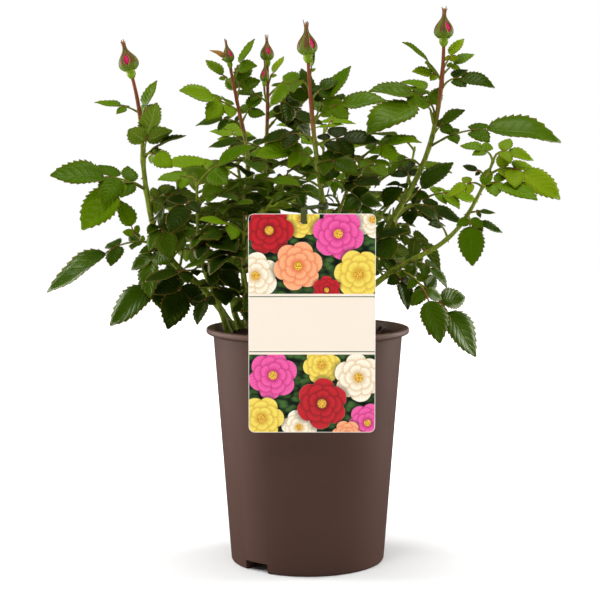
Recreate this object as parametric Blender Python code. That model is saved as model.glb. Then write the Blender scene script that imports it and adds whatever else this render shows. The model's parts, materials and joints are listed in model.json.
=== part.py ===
"""A rose bush in its round nursery pot, with a hanging label card.

Metres, +Z up. The origin is the centre of the pot's flat underside, and the label hangs on the -Y side.
Angles of the plant are in degrees: a heading turns from +X towards +Y, a lean is measured from the
vertical, and a rise is measured from the horizontal.
"""

import math
import random

import bmesh
import bpy
from mathutils import Matrix, Vector
from mathutils.bvhtree import BVHTree

# Clear gap between neighbouring solids
gap = 0.0003

# Pot
pot_height = 0.220
rim_radius = 0.095
rim_depth = 0.0055
wall_top_radius = 0.0885
foot_radius = 0.0721
wall = 0.0018
foot_ring = 0.0090
foot_step = 0.010
floor_thickness = 0.002
hub_radius = 0.026
notch_heading = 229.0
notch_width = 0.0265
notch_height = 0.009
turned_steps = 40

# Compost
compost_top = 0.215
compost_shoulder = 0.004

# Label card and its tie
card_width = 0.111
card_height = 0.192
card_thickness = 0.001
card_corner = 0.005
card_middle = 0.0032
card_foot = 0.1365
card_back = -rim_radius - gap
slot_width = 0.0062
slot_height = 0.0026
slot_drop = 0.0075
tie_width = 0.005
tie_thickness = 0.0010
tie_middle = -0.0040
tie_arch = 0.0045
tie_ring_wall = 0.0012
tie_tail_radius = 0.0019
tie_cane = "middle_front"
tie_share = 0.475

# Canes
cane_sides = 6
cane_steps = 40
flare = 1.35
flare_share = 0.06
tip_taper = 0.52
foot_height = compost_top + gap

# Leaves
petiole_radius = 0.0008
end_shares = {1: 0.56, 2: 0.50, 3: 0.38}
side_shares = (0.84, 0.62, 0.50)
side_splays = (70.0, 88.0, 102.0)
side_sag = 16.0
widest_sides = 1.1
stalk_share = 0.16
spacing_share = 0.17
pair_width = 0.0030
leaflet_ratio = 0.70
leaflet_rings = ((0.24, 0.92), (0.62, 0.88))
small_rings = ((0.45, 1.0),)
leaflet_thickness = 0.0010
leaflet_fold = 0.22
leaflet_curl = 0.10
clearance = 0.0007
spiral = 137.5
fill_pitch = 0.018
fill_reach = (0.068, 0.098)
fill_tries = 6

# Buds
bud_length = 0.0365
bud_width = 0.017
bud_radii = (0.24, 0.48, 0.48, 0.86, 1.02, 0.82, 0.36, 0.18, 0.16)
bud_shares = (0.00, 0.09, 0.18, 0.27, 0.35, 0.48, 0.64, 0.76, 1.00)
bud_sides = 7
bud_sink = 0.002

# Each shoot is one cane with the mass of leaves that it carries: where its foot stands, its heading,
# its leans at even shares of its length from the foot to the tip, its length, its radius at the foot,
# the share that is bare cane, the width of its bud, its leaves, and the stretch that fills with more.
# A leaf is its share of the length, its heading, the rise of its stalk at the stem, the rise of its end
# leaflet, its reach in millimetres, its leaflets, its roll and, where it is not 1, the size of its sides.
shoots = {
    "left_outer": dict(
        foot=(-0.071, 0.018), heading=188, leans=(27, 52, 12, 1, 15), length=0.266,
        radius=0.0036, bare=0.17, bud=0.0175,
        leaves=((0.60, -162, 28, 4, 92, 5, 34, 1.35), (0.40, -172, 14, -36, 120, 5, 20, 0.8),
                (0.21, -162, 24, -38, 84, 5, 28, 0.8), (0.72, -58, 75, 58, 60, 3, 0),
                (0.64, -40, 50, -25, 47, 3, -55), (0.85, 180, 20, 10, 46, 3, 25, 0.9),
                (0.82, 30, 70, 60, 48, 3, 0), (0.68, -22, 58, 15, 62, 3, -20, 0.8)),
        fill=(0.25, 0.55)),
    "left_inner": dict(
        foot=(-0.074, -0.006), heading=215, leans=(20, 27, 3, -1), length=0.149,
        radius=0.0032, bare=0.30, bud=0.0,
        leaves=((0.99, -160, 30, -10, 44, 3, 35), (0.74, -120, 60, -50, 66, 3, 10),
                (0.42, -128, 10, -30, 72, 5, 20), (0.60, -60, 20, -10, 72, 5, -20),
                (0.94, -25, 55, 22, 66, 3, -40)),
        fill=(0.32, 0.95)),
    "left_upright": dict(
        foot=(-0.063, 0.034), heading=180, leans=(36, -14, -4, 22), length=0.127,
        radius=0.0033, bare=0.30, bud=0.0,
        leaves=((0.98, 180, 60, 20, 62, 5, 35), (0.85, 20, 45, 10, 66, 5, -30),
                (0.60, 150, 30, 0, 74, 5, 0)),
        fill=(0.32, 0.95)),
    "second_bud": dict(
        foot=(-0.058, 0.057), heading=185, leans=(6, 4, -10, 13, 10), length=0.253,
        radius=0.0032, bare=0.22, bud=0.0105,
        leaves=((0.83, -150, 30, 12, 66, 5, 40), (0.73, 155, 45, -10, 58, 5, 30),
                (0.865, 60, 75, 62, 46, 3, -10), (0.66, -120, 30, 0, 60, 5, 20),
                (0.54, -30, 25, -10, 62, 5, -20), (0.985, 170, 40, 15, 28, 3, 30),
                (0.78, 40, 60, 50, 40, 3, -20)),
        fill=(0.26, 0.60)),
    "middle_back": dict(
        foot=(-0.030, 0.036), heading=107, leans=(30, 17, -14, 5), length=0.262,
        radius=0.0030, bare=0.22, bud=0.0125,
        leaves=((0.76, 30, 48, 38, 66, 3, -25), (0.72, -25, 10, -30, 46, 5, -35),
                (0.68, 160, 30, 0, 64, 5, 25), (0.60, 60, 30, -10, 84, 5, 0),
                (0.88, 15, 50, 20, 50, 3, -25)),
        fill=(0.26, 0.62)),
    "middle_front": dict(
        foot=(0.021, -0.018), heading=246, leans=(-1, 7, 22, 15, 8), length=0.254,
        radius=0.0034, bare=0.56, bud=0.0170,
        leaves=((0.89, -170, 70, -45, 50, 3, 30), (0.785, 30, 75, 62, 66, 3, -15),
                (0.745, -12, 55, 8, 74, 5, -50, 0.8), (0.64, -165, 35, 0, 58, 5, 45, 0.8),
                (0.62, -45, 35, -18, 52, 5, -30), (0.60, 110, 30, 0, 66, 5, 0),
                (0.70, 10, 25, 0, 60, 5, -35), (0.72, 178, 30, -12, 54, 3, 30)),
        fill=(0.58, 0.66)),
    "middle_low": dict(
        foot=(0.036, -0.046), heading=200, leans=(2, 18, -20, -30), length=0.172,
        radius=0.0026, bare=0.45, bud=0.0,
        leaves=((0.99, -10, 40, 10, 56, 5, -30), (0.78, -60, 50, -10, 58, 5, -20)),
        fill=(0.76, 0.95)),
    "right_tall": dict(
        foot=(0.029, 0.004), heading=-5, leans=(11, 32, 31, 11, 0), length=0.288,
        radius=0.0036, bare=0.30, bud=0.0170,
        leaves=((0.76, -165, 75, 0, 78, 5, 35, 0.85), (0.70, -126, 60, -15, 96, 3, 15, 0.6),
                (0.88, -165, 65, 35, 50, 3, 20, 0.5), (0.93, 33, 65, 60, 38, 3, 0),
                (0.83, -20, 70, -15, 58, 3, -30), (0.67, -10, 25, -5, 122, 5, -35, 0.5),
                (0.55, -128, 70, -50, 66, 3, 5, 0.6), (0.58, 100, 70, 30, 62, 3, 10, 0.8),
                (0.44, 5, 45, 25, 58, 3, -40, 0.6)),
        fill=(0.36, 0.50)),
    "right_inner": dict(
        foot=(0.036, 0.030), heading=20, leans=(12, 32, 28, 80), length=0.160,
        radius=0.0026, bare=0.30, bud=0.0,
        leaves=((0.98, 10, 20, -10, 54, 5, -30), (0.66, -25, 30, -10, 66, 5, -25)),
        fill=(0.40, 0.95)),
    "right_low": dict(
        foot=(0.040, -0.026), heading=-18, leans=(0, 51, 65, 31, 19), length=0.216,
        radius=0.0033, bare=0.27, bud=0.0,
        leaves=((0.955, 150, 50, 10, 48, 3, 30, 0.8), (0.99, 0, 50, 10, 52, 3, -35),
                (0.91, -20, 50, -32, 78, 5, -35, 0.85), (0.80, -45, 40, -27, 74, 5, -25, 0.8),
                (0.73, -90, 20, -78, 52, 3, 0, 0.5), (0.69, 0, 20, -25, 40, 3, -25),
                (0.62, 170, 70, 40, 44, 3, 20, 0.8), (0.88, 180, 40, -20, 54, 3, 40, 0.8),
                (0.40, -50, -10, -65, 70, 5, -10, 0.6), (0.34, -12, -12, -50, 112, 7, -30, 0.95),
                (0.52, 80, 40, 0, 74, 5, 0)),
        fill=(0.38, 0.60)),
    "back_left": dict(
        foot=(-0.030, 0.066), heading=122, leans=(15, 35, 30, 20, 15), length=0.196,
        radius=0.0032, bare=0.24, bud=0.0,
        leaves=((0.98, 100, 50, 30, 60, 5, 0), (0.82, 175, 35, 0, 84, 5, 20), (0.68, 50, 30, -10, 90, 5, 0),
                (0.90, -20, 40, 10, 66, 5, -20)),
        fill=(0.28, 0.72)),
    "back_middle": dict(
        foot=(0.006, 0.056), heading=84, leans=(10, 42, 36, 14), length=0.228,
        radius=0.0030, bare=0.24, bud=0.0,
        leaves=((0.97, 60, 50, 20, 58, 5, 0), (0.84, -10, 40, 10, 66, 5, -25),
                (0.90, -150, 45, 20, 60, 5, 20)),
        fill=(0.28, 0.92)),
    "back_right": dict(
        foot=(0.040, 0.052), heading=42, leans=(12, 40, 38, 20, 14), length=0.200,
        radius=0.0032, bare=0.24, bud=0.0,
        leaves=((0.98, 60, 50, 30, 56, 5, 0), (0.84, -10, 35, 0, 72, 5, -20),
                (0.70, 110, 30, -10, 90, 5, 0), (0.90, -160, 45, 20, 62, 5, 20)),
        fill=(0.28, 0.72)),
    "front_left": dict(
        foot=(-0.048, -0.034), heading=225, leans=(5, 20, 5, -5), length=0.098,
        radius=0.0026, bare=0.34, bud=0.0,
        leaves=((0.97, -140, 40, 10, 52, 3, 20),),
        fill=(0.36, 0.95)),
}

# Room that the leaves leave clear round the pot, the card and the tie
margin = 0.0025
tie_side_room = 0.026
tie_back_room = -0.026

# Room that the filling leaves keep to: half the crown's width and depth, and its greatest height
crown_width = 0.150
crown_depth = 0.165
crown_top = 0.395
crown_edge_top = 0.330


def material(name, colour, roughness, metallic=0.0):
    made = bpy.data.materials.new(name)
    made.use_nodes = True
    shader = made.node_tree.nodes["Principled BSDF"]
    shader.inputs["Base Color"].default_value = (*colour, 1.0)
    shader.inputs["Roughness"].default_value = roughness
    shader.inputs["Metallic"].default_value = metallic
    made.diffuse_color = (*colour, 1.0)
    return made


def new_object(name, bm, surface, collection=None):
    bmesh.ops.recalc_face_normals(bm, faces=bm.faces)
    mesh = bpy.data.meshes.new(name)
    bm.to_mesh(mesh)
    bm.free()
    mesh.materials.append(surface)
    made = bpy.data.objects.new(name, mesh)
    (collection or bpy.context.scene.collection).objects.link(made)
    return made


def turned(name, profile, surface):
    """A solid of revolution round Z: the profile starts and ends on the axis."""
    bm = bmesh.new()
    points = [bm.verts.new((radius, 0.0, height)) for radius, height in profile]
    edges = [bm.edges.new(pair) for pair in zip(points, points[1:])]
    bmesh.ops.spin(bm, geom=points + edges, cent=(0, 0, 0), axis=(0, 0, 1), angle=math.tau,
                   steps=turned_steps, use_merge=True)
    bmesh.ops.remove_doubles(bm, verts=bm.verts, dist=1e-6)
    return new_object(name, bm, surface)


def cutter(name, size, matrix, target):
    """A box that a Boolean takes out of the target."""
    bm = bmesh.new()
    bmesh.ops.create_cube(bm, size=1.0, matrix=matrix @ Matrix.Diagonal((*size, 1.0)))
    made = new_object(name, bm, target.data.materials[0])
    made.hide_render = True
    made.display_type = "WIRE"
    cut = target.modifiers.new(name, "BOOLEAN")
    cut.operation = "DIFFERENCE"
    cut.object = made


# ---- Pot and compost ----


def inner_radius(height):
    """Radius of the pot's inner face at a height."""
    share = height / (pot_height - rim_depth)
    return foot_radius + (wall_top_radius - foot_radius) * share - wall


def build_pot():
    floor_top = foot_step + floor_thickness
    rim_foot = pot_height - rim_depth
    profile = [
        (0.0, 0.0),
        (hub_radius, 0.0),
        (hub_radius + 0.001, foot_step),
        (foot_radius - foot_ring + 0.0004, foot_step),
        (foot_radius - foot_ring, 0.0),
        (foot_radius - 0.0018, 0.0),
        (foot_radius, 0.0022),
        (wall_top_radius, rim_foot - 0.0008),
        (rim_radius - 0.0012, rim_foot),
        (rim_radius, rim_foot + 0.0018),
        (rim_radius, pot_height - 0.0014),
        (rim_radius - 0.0010, pot_height),
        (rim_radius - 0.0042, pot_height),
        (rim_radius - 0.0056, pot_height - 0.0012),
        (inner_radius(rim_foot - 0.001), rim_foot - 0.001),
        (inner_radius(floor_top), floor_top),
        (0.0, floor_top),
    ]
    plastic = material("pot plastic", (0.075, 0.040, 0.030), 0.42)
    pot = turned("pot", profile, plastic)
    for turn, name in ((0.0, "notch_front"), (180.0, "notch_back")):
        matrix = Matrix.Rotation(math.radians(notch_heading + turn), 4, "Z") @ Matrix.Translation(
            (foot_radius, 0.0, 0.0))
        cutter(name, (0.020, notch_width, 2.0 * notch_height), matrix, pot)
    return pot


def build_compost():
    low = foot_step + floor_thickness + gap
    shoulder = compost_top - compost_shoulder
    profile = [
        (0.0, low),
        (inner_radius(low) - gap - 0.0002, low),
        (inner_radius(shoulder) - gap - 0.0002, shoulder),
        (inner_radius(shoulder) - 0.004, compost_top),
        (0.0, compost_top),
    ]
    return turned("compost", profile, material("compost", (0.035, 0.020, 0.012), 0.95))


# ---- Shoots ----


class Path:
    """A shoot's middle line, whose lean changes evenly from each named lean to the next."""

    def __init__(self, shoot):
        self.length = shoot["length"]
        heading = math.radians(shoot["heading"])
        leans = shoot["leans"]
        step = self.length / cane_steps
        self.points = [Vector((*shoot["foot"], foot_height))]
        for index in range(cane_steps):
            place = (index + 0.5) / cane_steps * (len(leans) - 1)
            low = min(int(place), len(leans) - 2)
            lean = math.radians(leans[low] + (leans[low + 1] - leans[low]) * (place - low))
            direction = Vector((
                math.sin(lean) * math.cos(heading), math.sin(lean) * math.sin(heading), math.cos(lean)))
            self.points.append(self.points[-1] + step * direction)

    def at(self, share):
        place = min(max(share, 0.0), 1.0) * cane_steps
        low = min(int(place), cane_steps - 1)
        return self.points[low].lerp(self.points[low + 1], place - low)

    def along(self, share):
        low = max(share - 0.5 / cane_steps, 0.0)
        high = min(share + 0.5 / cane_steps, 1.0)
        return (self.at(high) - self.at(low)).normalized()


def shoot_radius(shoot, share):
    radius = shoot["radius"] * (1.0 - (1.0 - tip_taper) * share)
    if share < flare_share:
        radius *= 1.0 + (flare - 1.0) * (1.0 - share / flare_share) ** 2
    return radius


def frames_along(points, first=None):
    """A frame at each point, +Z along the line, turned as little as possible from one to the next."""
    ahead = [(b - a).normalized() for a, b in zip(points, points[1:])]
    middle = [(a + b).normalized() for a, b in zip(ahead, ahead[1:])]
    directions = [first or ahead[0], *middle, ahead[-1]]
    turn = Vector((0, 0, 1)).rotation_difference(directions[0]).to_matrix()
    frames = []
    for index, point in enumerate(points):
        if index:
            turn = directions[index - 1].rotation_difference(directions[index]).to_matrix() @ turn
        frames.append(Matrix.Translation(point) @ turn.to_4x4())
    return frames


def sweep(points, radii, sides, first=None):
    """A closed round rod through the points, with a flat cut at both ends."""
    bm = bmesh.new()
    rings = [frame @ Matrix.Scale(radius, 4)
             for frame, radius in zip(frames_along(points, first), radii)]
    bmesh.ops.create_circle(bm, cap_ends=True, segments=sides, radius=1.0, matrix=rings[0])
    edges = list(bm.edges)
    for last, ring in zip(rings, rings[1:]):
        grown = bmesh.ops.extrude_edge_only(bm, edges=edges)["geom"]
        verts = [part for part in grown if isinstance(part, bmesh.types.BMVert)]
        edges = [part for part in grown if isinstance(part, bmesh.types.BMEdge)]
        bmesh.ops.transform(bm, matrix=ring @ last.inverted(), verts=verts)
    bmesh.ops.contextual_create(bm, geom=edges)
    bmesh.ops.recalc_face_normals(bm, faces=bm.faces)
    return bm


def stretch(shoot, path, start, end, pieces, sides):
    """The rod of a shoot between two shares of its length."""
    shares = [start + (end - start) * index / pieces for index in range(pieces + 1)]
    if start == 0.0:
        shares.insert(1, flare_share)
    points = [path.at(share) for share in shares]
    first = Vector((0, 0, 1)) if start == 0.0 else path.along(start)
    return sweep(points, [shoot_radius(shoot, share) for share in shares], sides, first)


def build_cane(name, shoot, path):
    green = material(name, (0.10, 0.16, 0.03), 0.55)
    return new_object("cane_" + name, stretch(shoot, path, 0.0, shoot["bare"], 4, cane_sides), green)


# ---- Leaves ----


def move_face(face, places):
    """Moves a face's corners to the places, which run the same way round, with the least twist."""
    verts = list(face.verts)
    count = len(verts)
    start = min(range(count), key=lambda turn: sum(
        (verts[(turn + index) % count].co - place).length_squared for index, place in enumerate(places)))
    for index, place in enumerate(places):
        verts[(start + index) % count].co = place


def blade(bm, face, base, along, normal, length, rings, grown):
    """Extrudes a stalk's face into a folded leaflet: diamond rings, then a point."""
    side = normal.cross(along).normalized()
    up = along.cross(side)
    half = leaflet_ratio * length / 2.0
    thick = leaflet_thickness / 2.0 + grown

    def lift(reach, across):
        return leaflet_fold * across - leaflet_curl * length * reach * reach

    for reach, width in rings:
        face = bmesh.ops.extrude_discrete_faces(bm, faces=[face])["faces"][0]
        across = half * width + grown
        middle = base + reach * length * along
        edge = middle + lift(reach, across) * up
        level = middle + lift(reach, 0.0) * up
        places = (level + thick * up, edge - across * side, level - thick * up, edge + across * side)
        move_face(face, places)
    tip = bmesh.ops.poke(bm, faces=[face])["verts"][0]
    tip.co = base + (length + grown) * along + lift(1.0, 0.0) * up


def leaf(base, heading, rise, fall, reach, count, roll, sides=1.0, grown=0.0):
    """A compound leaf as one solid: a square stalk, whose faces grow into the leaflets."""
    pairs = (count - 1) // 2
    end_length = reach * end_shares[pairs]
    stalk = reach * stalk_share
    spacing = reach * spacing_share
    petiole = reach - end_length - stalk - spacing * (pairs - 1)
    stops = [0.0, petiole * 0.5]
    for pair in range(pairs):
        spot = petiole + spacing * pair
        stops += [spot - pair_width / 2.0, spot + pair_width / 2.0]
    stops.append(reach - end_length)
    turn = math.radians(heading)
    points = [base.copy()]
    directions = []
    for last, stop in zip(stops, stops[1:]):
        tilt = math.radians(rise + (fall - rise) * last / stops[-2])
        directions.append(Vector((
            math.cos(tilt) * math.cos(turn), math.cos(tilt) * math.sin(turn), math.sin(tilt))))
        points.append(points[-1] + (stop - last) * directions[-1])
    side = Vector((math.sin(turn), -math.cos(turn), 0.0))
    side = Matrix.Rotation(math.radians(-roll), 3, directions[-1]) @ side
    normal = side.cross(directions[-1])
    bm = bmesh.new()
    half = petiole_radius + grown

    def section(point, along):
        level = side.cross(along).normalized()
        return [point + half * (a * side + b * level) for a, b in ((1, 1), (-1, 1), (-1, -1), (1, -1))]

    end = bm.faces.new([bm.verts.new(place) for place in section(points[0], directions[0])])
    for direction, point in zip(directions, points[1:]):
        end = bmesh.ops.extrude_discrete_faces(bm, faces=[end])["faces"][0]
        move_face(end, section(point, direction))
    bmesh.ops.holes_fill(bm, edges=[edge for edge in bm.edges if edge.is_boundary])
    bmesh.ops.recalc_face_normals(bm, faces=bm.faces)
    blade(bm, end, points[-1], directions[-1], normal, end_length, leaflet_rings, grown)
    for pair in range(pairs):
        low = 2 + 2 * pair
        spot = (points[low] + points[low + 1]) / 2.0
        outer = pairs - 1 - pair
        length = end_length * side_shares[outer] * min(sides, widest_sides)
        rings = small_rings if outer else leaflet_rings
        for way in (1.0, -1.0):
            target = spot + way * half * side
            bm.faces.ensure_lookup_table()
            face = min(bm.faces, key=lambda part: (part.calc_center_median() - target).length)
            along = directions[low]
            sag = Matrix.Rotation(math.radians(way * side_sag), 3, along)
            splay = Matrix.Rotation(math.radians(-way * side_splays[outer]), 3, normal)
            blade(bm, face, spot, sag @ splay @ along, sag @ normal, length, rings, grown)
    bmesh.ops.triangulate(bm, faces=bm.faces)
    bmesh.ops.recalc_face_normals(bm, faces=bm.faces)
    return bm


def box_guard(low, high):
    bm = bmesh.new()
    middle = [(a + b) / 2.0 for a, b in zip(low, high)]
    size = [b - a for a, b in zip(low, high)]
    bmesh.ops.create_cube(bm, size=1.0, matrix=Matrix.Translation(middle) @ Matrix.Diagonal((*size, 1.0)))
    return bm


class Room:
    """What the leaves keep clear of."""

    def __init__(self):
        self.trees = []
        guard = bmesh.new()
        bmesh.ops.create_cone(guard, cap_ends=True, segments=32, radius1=foot_radius + margin,
                              radius2=rim_radius + margin, depth=pot_height + margin,
                              matrix=Matrix.Translation((0, 0, (pot_height + margin) / 2.0)))
        self.keep(guard, "pot")
        card_top = card_foot + card_height
        self.keep(box_guard((card_middle - card_width / 2.0 - margin, card_back - card_thickness - margin,
                             card_foot - margin),
                            (card_middle + card_width / 2.0 + margin, card_back + margin, card_top + margin)),
                  "card")
        self.keep(box_guard((tie_middle - tie_width, card_back - tie_width, card_top - 2.0 * slot_drop),
                            (tie_middle + tie_side_room, tie_back_room, card_top + 2.0 * tie_arch)), "tie")

    def keep(self, bm, owner):
        self.trees.append((BVHTree.FromBMesh(bm), owner))
        bm.free()

    def clear(self, bm, own_stem):
        """True where a solid crosses nothing but the stem that it grows from."""
        for vert in bm.verts:
            if vert.co.z < pot_height and math.hypot(vert.co.x, vert.co.y) < rim_radius:
                return False
        tree = BVHTree.FromBMesh(bm)
        return not any(owner != own_stem and tree.overlap(other) for other, owner in self.trees)


def in_crown(point):
    """True where a filling leaf's tip stays inside the dense part of the crown."""
    spread = math.hypot(point.x / crown_width, point.y / crown_depth)
    top = crown_top + (crown_edge_top - crown_top) * spread * spread
    return spread < 1.0 and point.z < top


def grow_leaf(room, owner, base, values, filling=False):
    """The solid of one leaf as a list, with fewer leaflets or empty where it has no room."""
    heading, rise, fall, reach, count, *others = values
    for fewer in (0, 2):
        if count - fewer < 3:
            break
        shape = (heading, rise, fall, reach, count - fewer, *others)
        test = leaf(base, *shape, grown=clearance)
        tip = max((vert.co for vert in test.verts), key=lambda place: (place - base).length).copy()
        if room.clear(test, "stem " + owner) and (in_crown(tip) or not filling):
            room.keep(test, "leaf " + owner)
            return [leaf(base, *shape)]
        test.free()
    return []


def bud(shoot, path):
    """A pointed bud on its hip, standing on the shoot's tip."""
    along = path.along(1.0)
    base = path.at(1.0) - bud_sink * along
    scale = bud_length * math.sqrt(shoot["bud"] / bud_width)
    points = [base + scale * share * along for share in bud_shares]
    return sweep(points, [shoot["bud"] / 2.0 * radius for radius in bud_radii], bud_sides, along)


def fill_leaves(room, name, shoot, path, seed):
    """Leaves on a spiral, with seeded changes of heading, rise, reach and roll, where they have room."""
    chance = random.Random(seed)
    low, high = shoot["fill"]
    count = int((high - low) * shoot["length"] / fill_pitch) + 1
    heading = chance.uniform(0, 360)
    grown = []
    for index in range(count):
        base = path.at(low + (high - low) * index / max(count - 1, 1))
        for _ in range(fill_tries):
            rise = chance.uniform(15, 65)
            values = (heading + chance.uniform(-25, 25), rise, rise - chance.uniform(20, 70),
                      chance.uniform(*fill_reach), chance.choice((5, 5, 7)), chance.uniform(-45, 45))
            fresh = grow_leaf(room, name, base, values, filling=True)
            grown += fresh
            heading += spiral
            if fresh:
                break
    return grown


# ---- Fusing ----


def keep_largest(bm):
    """Leaves only the piece with the most faces: loose scraps and sealed hollows go."""
    left = set(bm.faces)
    pieces = []
    while left:
        piece = []
        waiting = [left.pop()]
        while waiting:
            face = waiting.pop()
            piece.append(face)
            for edge in face.edges:
                near = left.intersection(edge.link_faces)
                left -= near
                waiting += near
        pieces.append(piece)
    pieces.sort(key=len, reverse=True)
    for piece in pieces[1:]:
        bmesh.ops.delete(bm, geom=piece, context="FACES")


def fuse(made, parts, solver):
    """Joins the parts to the object by one Boolean on a collection, and applies it."""
    group = bpy.data.collections.new("parts of " + made.name)
    bpy.context.scene.collection.children.link(group)
    surface = made.data.materials[0]
    for bm in parts:
        new_object("part", bm, surface, group)
    union = made.modifiers.new("union", "BOOLEAN")
    union.operation = "UNION"
    union.operand_type = "COLLECTION"
    union.collection = group
    union.solver = solver
    depsgraph = bpy.context.evaluated_depsgraph_get()
    joined = bpy.data.meshes.new_from_object(made.evaluated_get(depsgraph))
    made.modifiers.clear()
    for part in list(group.objects):
        bpy.data.objects.remove(part)
    bpy.data.collections.remove(group)
    bm = bmesh.new()
    bm.from_mesh(joined)
    bmesh.ops.remove_doubles(bm, verts=bm.verts, dist=2e-6)
    bmesh.ops.dissolve_degenerate(bm, dist=2e-6, edges=bm.edges)
    keep_largest(bm)
    bmesh.ops.triangulate(bm, faces=bm.faces)
    bm.to_mesh(joined)
    bm.free()
    joined.materials.clear()
    joined.materials.append(surface)
    made.data = joined


def build_plant():
    room = Room()
    paths = {name: Path(shoot) for name, shoot in shoots.items()}
    stems = {}
    parts = {name: [] for name in shoots}
    for name, shoot in shoots.items():
        path = paths[name]
        build_cane(name, shoot, path)
        room.keep(stretch(shoot, path, 0.0, shoot["bare"], 4, cane_sides), "cane " + name)
        start = shoot["bare"] + gap / shoot["length"]
        stems[name] = stretch(shoot, path, start, 1.0, 6, 5)
        room.keep(stems[name].copy(), "stem " + name)
        if shoot["bud"]:
            parts[name].append(bud(shoot, path))
            room.keep(bud(shoot, path), "stem " + name)
    for name, shoot in shoots.items():
        for share, *values in shoot["leaves"]:
            values[3] /= 1000.0
            grown = grow_leaf(room, name, paths[name].at(share), values)
            if not grown:
                print("no room for the leaf at", share, "of", name)
            parts[name] += grown
    for seed, (name, shoot) in enumerate(shoots.items()):
        parts[name] += fill_leaves(room, name, shoot, paths[name], seed)
    for name in shoots:
        leaf_green = material("leaves " + name, (0.06, 0.14, 0.02), 0.45)
        mass = new_object("foliage_" + name, stems[name], leaf_green)
        count = len(parts[name])
        fuse(mass, parts[name], "MANIFOLD")  # the exact solver leaves open edges in two of the masses
        print(mass.name, count, "parts,", len(mass.data.polygons), "triangles")
    return paths


# ---- Label card and tie ----


def build_card():
    bm = bmesh.new()
    bmesh.ops.create_grid(bm, x_segments=1, y_segments=1, size=0.5)
    bmesh.ops.scale(bm, vec=(card_width, card_height, 1.0), verts=bm.verts)
    bmesh.ops.bevel(bm, geom=list(bm.verts), offset=card_corner, offset_type="OFFSET", segments=5,
                    profile=0.5, affect="VERTICES", material=-1)
    grown = bmesh.ops.extrude_face_region(bm, geom=list(bm.faces))["geom"]
    verts = [part for part in grown if isinstance(part, bmesh.types.BMVert)]
    bmesh.ops.translate(bm, vec=(0, 0, card_thickness), verts=verts)
    place = Matrix.Translation((card_middle, card_back, card_foot + card_height / 2.0))
    bmesh.ops.transform(bm, matrix=place @ Matrix.Rotation(math.pi / 2.0, 4, "X"), verts=bm.verts)
    card = new_object("label_card", bm, material("label card", (0.80, 0.70, 0.58), 0.35))
    slot_middle = card_foot + card_height - slot_drop
    slot = Matrix.Translation((tie_middle, card_back - card_thickness / 2.0, slot_middle))
    cutter("label_slot", (slot_width, 4.0 * card_thickness, slot_height), slot, card)
    return card


def ribbon(route, width, thickness, surface, name):
    """A flat strap whose middle line runs in the plane of Y and Z, at the tie's X."""
    bm = bmesh.new()
    points = [Vector((0.0, y, z)) for y, z in route]
    frames = frames_along(points)
    rings = [frame @ Matrix.Diagonal((width, thickness, 1.0, 1.0)) for frame in frames]
    made = bmesh.ops.create_grid(bm, x_segments=1, y_segments=1, size=0.5, matrix=rings[0])
    edges = list({edge for vert in made["verts"] for edge in vert.link_edges})
    for last, ring in zip(rings, rings[1:]):
        grown = bmesh.ops.extrude_edge_only(bm, edges=edges)["geom"]
        verts = [part for part in grown if isinstance(part, bmesh.types.BMVert)]
        edges = [part for part in grown if isinstance(part, bmesh.types.BMEdge)]
        bmesh.ops.transform(bm, matrix=ring @ last.inverted(), verts=verts)
    bmesh.ops.contextual_create(bm, geom=edges)
    bmesh.ops.translate(bm, vec=(tie_middle, 0, 0), verts=bm.verts)
    return new_object(name, bm, surface)


def build_tie(paths):
    """The strap goes through the card's slot, over its top edge, and back to a ring round a cane."""
    green = material("label tie", (0.02, 0.05, 0.03), 0.5)
    card_top = card_foot + card_height
    slot_middle = card_top - slot_drop
    front = card_back - card_thickness - tie_thickness
    behind = card_back + 1.4 * tie_thickness
    top = card_top + tie_arch
    route = [
        (behind + 0.0030, slot_middle + 0.0004),
        (behind, slot_middle),
        (front + 0.0004, slot_middle),
        (front - 0.0010, slot_middle + 0.0012),
        (front - 0.0010, card_top + 0.0004),
        (front + 0.0004, top - 0.0010),
        (front + 0.0026, top),
        (behind + 0.0080, top),
    ]
    strap = ribbon(route, tie_width, tie_thickness, green, "label_tie")
    shoot = shoots[tie_cane]
    path = paths[tie_cane]
    hold = path.at(tie_share)
    along = path.along(tie_share)
    inner = shoot_radius(shoot, tie_share) + 2.0 * gap
    outer = inner + tie_ring_wall
    half = tie_width / 2.0
    ring = bmesh.new()
    corners = [(inner, -half), (outer, -half), (outer, half), (inner, half)]
    verts = [ring.verts.new((radius, 0.0, height)) for radius, height in corners]
    edges = [ring.edges.new((verts[i], verts[(i + 1) % 4])) for i in range(4)]
    bmesh.ops.spin(ring, geom=verts + edges, cent=(0, 0, 0), axis=(0, 0, 1), angle=math.tau, steps=16,
                   use_merge=True)
    bmesh.ops.remove_doubles(ring, verts=ring.verts, dist=1e-6)
    turn = Vector((0, 0, 1)).rotation_difference(along).to_matrix().to_4x4()
    bmesh.ops.transform(ring, matrix=Matrix.Translation(hold) @ turn, verts=ring.verts)
    bmesh.ops.recalc_face_normals(ring, faces=ring.faces)
    start = Vector((tie_middle, behind + 0.0070, top))
    end = hold + (inner + outer) / 2.0 * (start - hold).normalized()
    tail = sweep([start, start.lerp(end, 0.5), end], [tie_tail_radius] * 3, 4)
    fuse(strap, [tail, ring], "EXACT")
    return strap


def main():
    for existing in list(bpy.data.objects):
        bpy.data.objects.remove(existing)
    build_pot()
    build_compost()
    build_card()
    paths = build_plant()
    build_tie(paths)


main()
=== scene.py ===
import json
import math
import random

import bmesh
import bpy
from mathutils import Matrix, Vector, noise
from mathutils.bvhtree import BVHTree

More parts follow.
